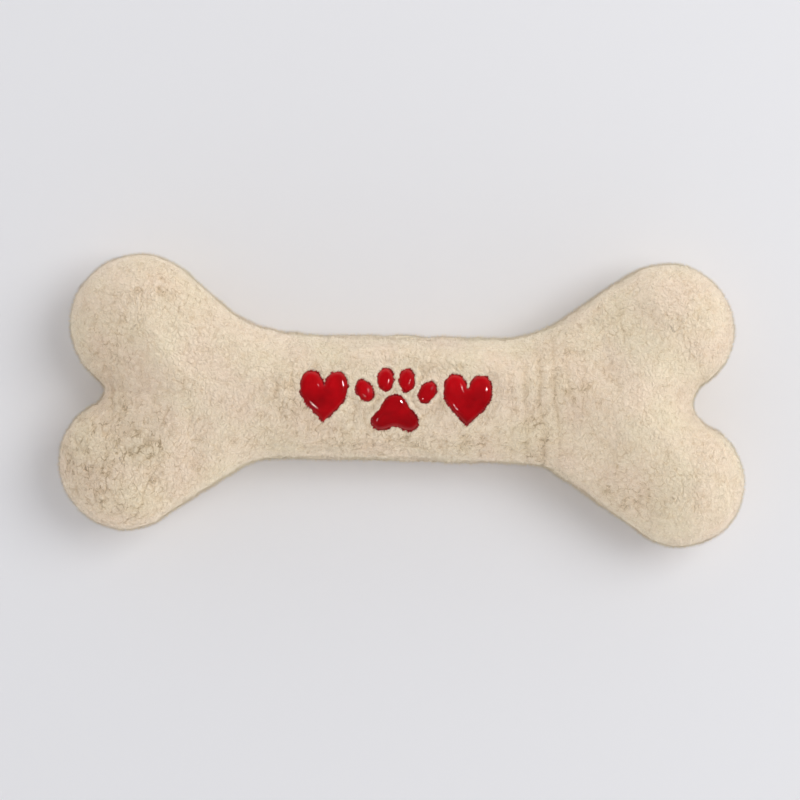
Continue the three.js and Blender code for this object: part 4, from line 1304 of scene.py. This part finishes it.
# %% The zigzag stitches
STITCH_OUT = 0.3
STITCH_IN = 1.0
STITCH_UNEVEN = 0.3
STITCH_RADIUS = 0.21
STITCH_SHOWN = 0.7
STITCH_DIP = 0.35
STEPS_PER_LEG = 6


def zigzag(name):
    """A path that swings in and out across the edge as |t| of a triangle wave, and dips at the end of each
    leg, where the needle went through."""
    loop = MOTIFS[name]["loop"]
    legs = 2 * round(len(loop) * MOTIF_SPACING / STITCH_PITCH)
    along = np.arange(legs * STEPS_PER_LEG) / (legs * STEPS_PER_LEG) * len(loop)
    wrapped = np.concatenate([loop, loop[:1]])
    before, after = np.roll(loop, 2, 0), np.roll(loop, -2, 0)
    outward = np.stack([(after - before)[:, 1], -(after - before)[:, 0]], 1)
    outward /= np.linalg.norm(outward, axis=1, keepdims=True)
    outward = np.concatenate([outward, outward[:1]])
    number = np.arange(len(wrapped))
    place = np.stack([np.interp(along, number, wrapped[:, axis]) for axis in range(2)], 1)
    facing = np.stack([np.interp(along, number, outward[:, axis]) for axis in range(2)], 1)
    phase = np.arange(len(along)) / STEPS_PER_LEG
    swing = np.abs(phase % 2 - 1)
    uneven = STITCH_UNEVEN * lumps(np.column_stack([place, np.zeros(len(place))]), STITCH_PITCH, 111)
    plan = place + ((STITCH_OUT + STITCH_IN) * swing - STITCH_IN + uneven)[:, None] * facing
    middle_of_leg = np.sin(np.pi * phase) ** 2
    rest = patch_top(plan, loop) + STITCH_RADIUS * STITCH_SHOWN
    return on_shaft(plan, rest - STITCH_DIP * (1 - middle_of_leg) ** 2), along * MOTIF_SPACING


print("Legs of the pad's zigzag:", len(zigzag("paw_pad")[0]) // STEPS_PER_LEG)

# %% [markdown]
# The film and the thread get their finishes, and then the patches and stitches are made. The film's red has a
# painted shade: it is deeper towards the patches' lower edge, further from the soft box, and paler towards
# their upper edge. Slow noise makes its red uneven. Both threads are two plies twisted once in a millimetre
# or two, which is drawn as dark and light bands.

# %% Patent cloth and rayon thread
RED_PATCH = 9
PAINTED_SHADING_SPAN = 17
PAINTED_SHADING_SHARE = 0.3
PEEL_SIZE = 1.6
PEEL_HEIGHT = 0.08
PLY_HEIGHT = 0.12


def patent_cloth():
    """Cloth with a thick, glossy polyurethane film: hard small glints on deep red, a painted shade that
    deepens the red towards the lower edge, and a fine orange peel.
    """
    material, tree, shader = finish("patent cloth", {
        "Roughness": 0.5,
        "Specular IOR Level": 0.05,
        "Coat Weight": 1.0,
        "Coat Roughness": 0.05,
    })
    place = add(tree, "ShaderNodeTexCoord", {}).outputs["Object"]
    slow = add(tree, "ShaderNodeTexNoise", {"Vector": place, "Scale": 1 / (RED_PATCH * MM), "Detail": 2.0})
    # painted shade: a ramp along the object's Y makes the red paler at the patches' upper edge and deeper at
    # their lower edge, where the soft box's light falls less
    across = add(tree, "ShaderNodeSeparateXYZ", {"Vector": place}).outputs["Y"]
    painted_shading_range = {"Value": across, "From Min": -PAINTED_SHADING_SPAN * MM, "From Max": PAINTED_SHADING_SPAN * MM}
    painted_shading_range |= {"To Min": -PAINTED_SHADING_SHARE, "To Max": PAINTED_SHADING_SHARE}
    painted_shading = add(tree, "ShaderNodeMapRange", painted_shading_range).outputs[0]
    mixed = add(tree, "ShaderNodeMath", {0: slow.outputs["Fac"], 1: painted_shading}, operation="ADD").outputs[0]
    red = add(tree, "ShaderNodeValToRGB", {"Fac": mixed}, [(0.15, "8c0008"), (0.85, "c80210")])
    peel = add(tree, "ShaderNodeTexNoise", {"Vector": place, "Scale": 1 / (PEEL_SIZE * MM), "Detail": 2.0})
    film = {"Height": peel.outputs["Fac"], "Distance": PEEL_HEIGHT * MM}
    bump = add(tree, "ShaderNodeBump", film).outputs["Normal"]
    feed(tree, shader, {"Base Color": red.outputs["Color"], "Normal": bump, "Coat Normal": bump})
    return material


def twisted_thread(name, dark, light, twist, roughness, sheen):
    """Thread of two plies: dark and light bands that run round it as it goes along, once in twist mm. The
    attribute 'along' is the distance in mm, and 'around' the share of a turn."""
    material, tree, shader = finish(name, {"Roughness": roughness, "Sheen Weight": sheen})
    along = add(tree, "ShaderNodeAttribute", {}, attribute_name="along").outputs["Fac"]
    around = add(tree, "ShaderNodeAttribute", {}, attribute_name="around").outputs["Fac"]
    turns = add(tree, "ShaderNodeMath", {0: along, 1: 1 / twist, 2: around}, operation="MULTIPLY_ADD")
    band = add(tree, "ShaderNodeMath", {0: turns.outputs[0], 1: 1.0}, operation="PINGPONG")
    shades = add(tree, "ShaderNodeValToRGB", {"Fac": band.outputs[0]}, [(0.15, dark), (0.7, light)])
    bump = add(tree, "ShaderNodeBump", {"Height": band.outputs[0], "Distance": PLY_HEIGHT * MM})
    feed(tree, shader, {"Base Color": shades.outputs["Color"], "Normal": bump.outputs["Normal"]})
    return material


def thread(name, path, travel, radius, material, slot, node, sides=6, closed=True):
    """A twisted thread along a path, with the two attributes that its finish reads."""
    points, faces = tube(path, radius, sides, closed)
    travel = np.concatenate([travel, travel[-1:]]) if closed else travel
    around = np.tile(np.arange(sides) / sides, len(travel))
    points, faces, kept = weld(points, faces)
    values = {"along": np.repeat(travel, sides)[kept], "around": around[kept]}
    return gives_way(piece(name, points, faces, [material], slot, [node], values))


PATENT = patent_cloth()
RAYON = twisted_thread("rayon thread", "7c050b", "b00a13", 1.1, 0.5, 0.0)
for name in MOTIFS:
    gives_way(piece("patent_" + name, *patent_patch(name), [PATENT], "patent_cloth", ["patch_" + name]))
    thread("zigzag_" + name, *zigzag(name), STITCH_RADIUS, RAYON, "red_thread", "stitches_" + name)

# %% [markdown]
# Inside, a needle thread and a bobbin thread run round the two seam allowances, and dip into the cloth where
# they lock. The gap that the toy was stuffed through is closed by hand with a ladder stitch, whose rungs go
# from one panel to the other down in the fold.

# %% The seam's threads
SEAM_THREAD_RADIUS = 0.5
SEAM_THREAD_INSET = SEAM_DRAW + FLEECE_THICK + 2
SEAM_THREAD_LEVEL = 3.2
SEAM_STITCH = 3
SEAM_DIP = 0.6
STUFFING_GAP = 76
LADDER_RADIUS = 0.3
LADDER_PITCH = 4
LADDER_REACH = 0.9
THREAD_SPACING = 0.6
LADDER_SPACING = 0.4


def machine_stitch(up):
    """The outline taken in, open over the stuffing gap, whose height drops as sin⁸ at each stitch's end."""
    line = EDGE - SEAM_THREAD_INSET * OUTWARD
    in_gap = (line[:, 1] < 0) & (np.abs(line[:, 0]) < STUFFING_GAP / 2)
    after = np.where(~in_gap & np.roll(in_gap, 1))[0][0]
    sewn = np.roll(line, -after, axis=0)[: (~in_gap).sum()]
    path, travel = even_steps(sewn, THREAD_SPACING, closed=False)
    dip = SEAM_DIP * np.cos(np.pi * travel / SEAM_STITCH) ** 8
    return np.column_stack([path, up * (SEAM_THREAD_LEVEL - dip)]), travel


def ladder_stitch():
    """A zigzag across the seam that lies in the fold. At a height z the shaft's wall stands at the angle
    asin(z/h), so it is (w - draw) cos(angle) from the axis."""
    x = np.arange(-STUFFING_GAP / 2, STUFFING_GAP / 2, 0.1)
    z = LADDER_REACH * np.sin(np.pi / 2 * (2 * np.abs(x / LADDER_PITCH % 2 - 1) - 1))
    angle = np.arcsin(np.abs(z) / SHAFT_HEIGHT)
    fold = (SHAFT_WIDTH / 2 - draw(angle)) * np.cos(angle)
    path = np.column_stack([x, SHAFT_AXIS - fold - LADDER_RADIUS / 2, z])
    return even_steps(path, LADDER_SPACING, closed=False)


SPUN = twisted_thread("spun polyester thread", "c9b695", "e8dac2", 1.6, 0.7, 0.3)
SEAM_THREADS = {
    "seam_needle_thread": (*machine_stitch(1), SEAM_THREAD_RADIUS),
    "seam_bobbin_thread": (*machine_stitch(-1), SEAM_THREAD_RADIUS),
    "closing_ladder_stitch": (*ladder_stitch(), LADDER_RADIUS),
}
for name, (path, travel, radius) in SEAM_THREADS.items():
    thread("sewn_" + name, path, travel, radius, SPUN, "seam_thread", name, closed=False)

# %% [markdown]
# The stuffing is crimped polyester fibre in six wads. Each wad starts as a copy of its CAD solid, remade in
# even small cells, and then every point sinks a little way in, by slow lumps and by small ones, so that the
# wad is as uneven as pulled fibre and never grows into its neighbours.

# %% The stuffing
WAD_CELL = 2.5
WAD_LUMPS = {14: 0.9, 5: 0.6, 2.6: 0.25}
STRAND_SIZE = 4
STRAND_HEIGHT = 1.5


def crimped_fibre():
    """Loose crimped polyester fibre: white, dull, with strands drawn as stretched noise. A real strand is
    0.03 mm thick, too fine to show, so each drawn one is coarser and stands for a lock of them."""
    material, tree, shader = finish("crimped polyester fibre", {"Roughness": 1.0, "Sheen Weight": 0.3})
    place = add(tree, "ShaderNodeTexCoord", {}).outputs["Object"]
    drawn = add(tree, "ShaderNodeMapping", {"Vector": place, "Scale": (1, 3, 2)})
    locks = {"Vector": drawn.outputs["Vector"], "Scale": 1 / (STRAND_SIZE * MM)}
    locks |= {"Detail": 5.0, "Distortion": 1.5}
    strands = add(tree, "ShaderNodeTexNoise", locks)
    whites = [(0.35, "dcdad5"), (0.6, "f3f2ef")]
    shades = add(tree, "ShaderNodeValToRGB", {"Fac": strands.outputs["Fac"]}, whites)
    bump = add(tree, "ShaderNodeBump", {"Height": strands.outputs["Fac"], "Distance": STRAND_HEIGHT * MM})
    feed(tree, shader, {"Base Color": shades.outputs["Color"], "Normal": bump.outputs["Normal"]})
    return material


def even_cells(node):
    """A CAD node's points and triangles, remade by a voxel remesh of its merged copy."""
    mesh = bpy.data.objects[node].data.copy()
    merged = bmesh.new()
    merged.from_mesh(mesh)
    bmesh.ops.remove_doubles(merged, verts=merged.verts, dist=0.001 * MM)
    merged.to_mesh(mesh)
    merged.free()
    copy = bpy.data.objects.new("copy", mesh)
    scene.collection.objects.link(copy)
    remesh = copy.modifiers.new("even cells", "REMESH")
    remesh.mode, remesh.voxel_size = "VOXEL", WAD_CELL * MM
    even = copy.evaluated_get(bpy.context.evaluated_depsgraph_get()).to_mesh()
    even.calc_loop_triangles()
    places = np.empty(3 * len(even.vertices))
    corners = np.empty(3 * len(even.loop_triangles), np.int32)
    even.vertices.foreach_get("co", places)
    even.loop_triangles.foreach_get("vertices", corners)
    bpy.data.objects.remove(copy)
    bpy.data.meshes.remove(mesh)
    return places.reshape(-1, 3) / MM - ZERO, corners.reshape(-1, 3)


FIBREFILL = crimped_fibre()
for node in [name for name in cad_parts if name.startswith("fill_")]:
    points, faces = even_cells(node)
    sunk = sum(depth * (1 + lumps(points, size, 101)) for size, depth in WAD_LUMPS.items())
    points = points - sunk[:, None] * facings(points, faces)
    wad = piece(node.replace("fill_", "wad_"), points, faces, [FIBREFILL], "fibrefill", [node])
    gives_way(wad)

# %% [markdown]
# The squeaker's bellows is blown from soft polyethylene, so its pleats are round folds. Its profile is the
# CAD model's, with its corners cut three times over, spun round the squeaker's axis.

# %% The bellows
BELLOWS_RADIUS = 15
PLEAT_DEPTH = 3.5
PLEAT_PITCH = 7
PLEAT_COUNT = 3
BELLOWS_RIM = 1.5
BELLOWS_WALL = 1
NECK_RADIUS = 5.6
NECK_LENGTH = 3
CORNER_CUT = 0.2
CUTS = 3
SPOKES = 96
MOULD_MARK = 6
MARK_HEIGHT = 0.2
SQUEAKER_AXIS = np.array((bellows_low + bellows_high) / 2)[:2] / MM


def cut_corners(line, times):
    """Each corner of an open line gives way to two points, each a share of the way along one of its sides."""
    for _ in range(times):
        near = (1 - CORNER_CUT) * line[:-1] + CORNER_CUT * line[1:]
        far = CORNER_CUT * line[:-1] + (1 - CORNER_CUT) * line[1:]
        inner = np.stack([near, far], 1).reshape(-1, 2)
        line = np.concatenate([line[:1], inner[1:-1], line[-1:]])
    return line


def bellows():
    """The closed profile as (radius, height), up the pleats outside, in at the neck, and down inside."""
    root = BELLOWS_RADIUS - PLEAT_DEPTH
    top = PLEAT_COUNT * PLEAT_PITCH + 2 * BELLOWS_RIM
    side = [(root, BELLOWS_RIM)]
    for pleat in range(PLEAT_COUNT):
        low = BELLOWS_RIM + pleat * PLEAT_PITCH
        side += [(BELLOWS_RADIUS, low + PLEAT_PITCH / 2), (root, low + PLEAT_PITCH)]
    rim, hollow = NECK_RADIUS + BELLOWS_WALL, root - BELLOWS_WALL
    neck = [(NECK_RADIUS, top), (NECK_RADIUS, top - NECK_LENGTH), (rim, top - NECK_LENGTH)]
    under_top = [(rim, top - BELLOWS_WALL), (hollow, top - BELLOWS_WALL)]
    within = [(radius - BELLOWS_WALL, height) for radius, height in reversed(side)]
    floor = [(hollow, BELLOWS_WALL), (0, BELLOWS_WALL)]
    corners = [(0, 0), (root, 0), *side, (root, top), *neck, *under_top, *within, *floor]
    line = cut_corners(np.array(corners), CUTS)
    turn = 2 * np.pi * np.arange(SPOKES) / SPOKES
    circle = np.stack([np.cos(turn), np.sin(turn)], 1)
    plan = SQUEAKER_AXIS + line[:, 0, None, None] * circle
    height = np.broadcast_to(line[:, 1, None, None] - top / 2, (*plan.shape[:2], 1))
    points, faces, _ = weld(np.concatenate([plan, height], 2).reshape(-1, 3), grid_faces(len(line), SPOKES))
    return points, faces


def blown_polyethylene():
    """Soft milky plastic, blown in a mould: satin, a little light goes through, and faint mould marks."""
    material, tree, shader = finish("blown polyethylene", {
        "Roughness": 0.38,
        "Subsurface Weight": 0.3,
        "Subsurface Scale": 2 * MM,
    })
    place = add(tree, "ShaderNodeTexCoord", {}).outputs["Object"]
    uneven = add(tree, "ShaderNodeTexNoise", {"Vector": place, "Scale": 1 / (MOULD_MARK * MM), "Detail": 3.0})
    milk = [(0.35, "dfddd4"), (0.65, "ebe9e2")]
    shades = add(tree, "ShaderNodeValToRGB", {"Fac": uneven.outputs["Fac"]}, milk)
    bump = add(tree, "ShaderNodeBump", {"Height": uneven.outputs["Fac"], "Distance": MARK_HEIGHT * MM})
    feed(tree, shader, {"Base Color": shades.outputs["Color"], "Normal": bump.outputs["Normal"]})
    return material


pleated = piece("pleated_bellows", *bellows(), [blown_polyethylene()], "blown_plastic", ["squeaker_bellows"])
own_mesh(pleated)

# %% [markdown]
# The reed unit's four parts are crisp in the CAD model already, so they stay and only get their finishes:
# moulded polystyrene for the holder, the seat and the wedge, and clear polyester film for the reed.

# %% The reed unit's finishes
FLOW_MARK = 3
FLOW_HEIGHT = 0.03
SCRATCH_SIZE = 2


def moulded_polystyrene():
    """White plastic from a polished mould: glossy, with slow flow marks."""
    material, tree, shader = finish("moulded polystyrene", {"Roughness": 0.25, "IOR": 1.59})
    place = add(tree, "ShaderNodeTexCoord", {}).outputs["Object"]
    marks = {"Vector": place, "Scale": 1 / (FLOW_MARK * MM), "Distortion": 2.0}
    flow = add(tree, "ShaderNodeTexNoise", marks)
    shades = add(tree, "ShaderNodeValToRGB", {"Fac": flow.outputs["Fac"]}, [(0.3, "eeeeea"), (0.7, "f6f6f4")])
    bump = add(tree, "ShaderNodeBump", {"Height": flow.outputs["Fac"], "Distance": FLOW_HEIGHT * MM})
    feed(tree, shader, {"Base Color": shades.outputs["Color"], "Normal": bump.outputs["Normal"]})
    return material


def polyester_film():
    """A strip cut from clear film: glassy, faintly warm, with scratches along the strip. Real ones are far
    finer than a pixel, so they are drawn coarser."""
    glassy = {"Roughness": 0.12, "IOR": 1.64, "Transmission Weight": 0.5}
    material, tree, shader = finish("polyester film", glassy)
    place = add(tree, "ShaderNodeTexCoord", {}).outputs["Object"]
    along = add(tree, "ShaderNodeMapping", {"Vector": place, "Scale": (8, 8, 1)})
    fine = {"Vector": along.outputs["Vector"], "Scale": 1 / (SCRATCH_SIZE * MM)}
    scratches = add(tree, "ShaderNodeTexNoise", fine)
    warm = [(0.3, "d9cfae"), (0.7, "e6dfc8")]
    shades = add(tree, "ShaderNodeValToRGB", {"Fac": scratches.outputs["Fac"]}, warm)
    feed(tree, shader, {"Base Color": shades.outputs["Color"]})
    return material


POLYSTYRENE = moulded_polystyrene()
REED_UNIT = dict.fromkeys(["reed_holder", "reed_seat", "reed_wedge"], POLYSTYRENE)
REED_UNIT["reed"] = polyester_film()
for node, material in REED_UNIT.items():
    bpy.data.objects[node].material_slots[0].material = material
    print(node, "is", material.name)
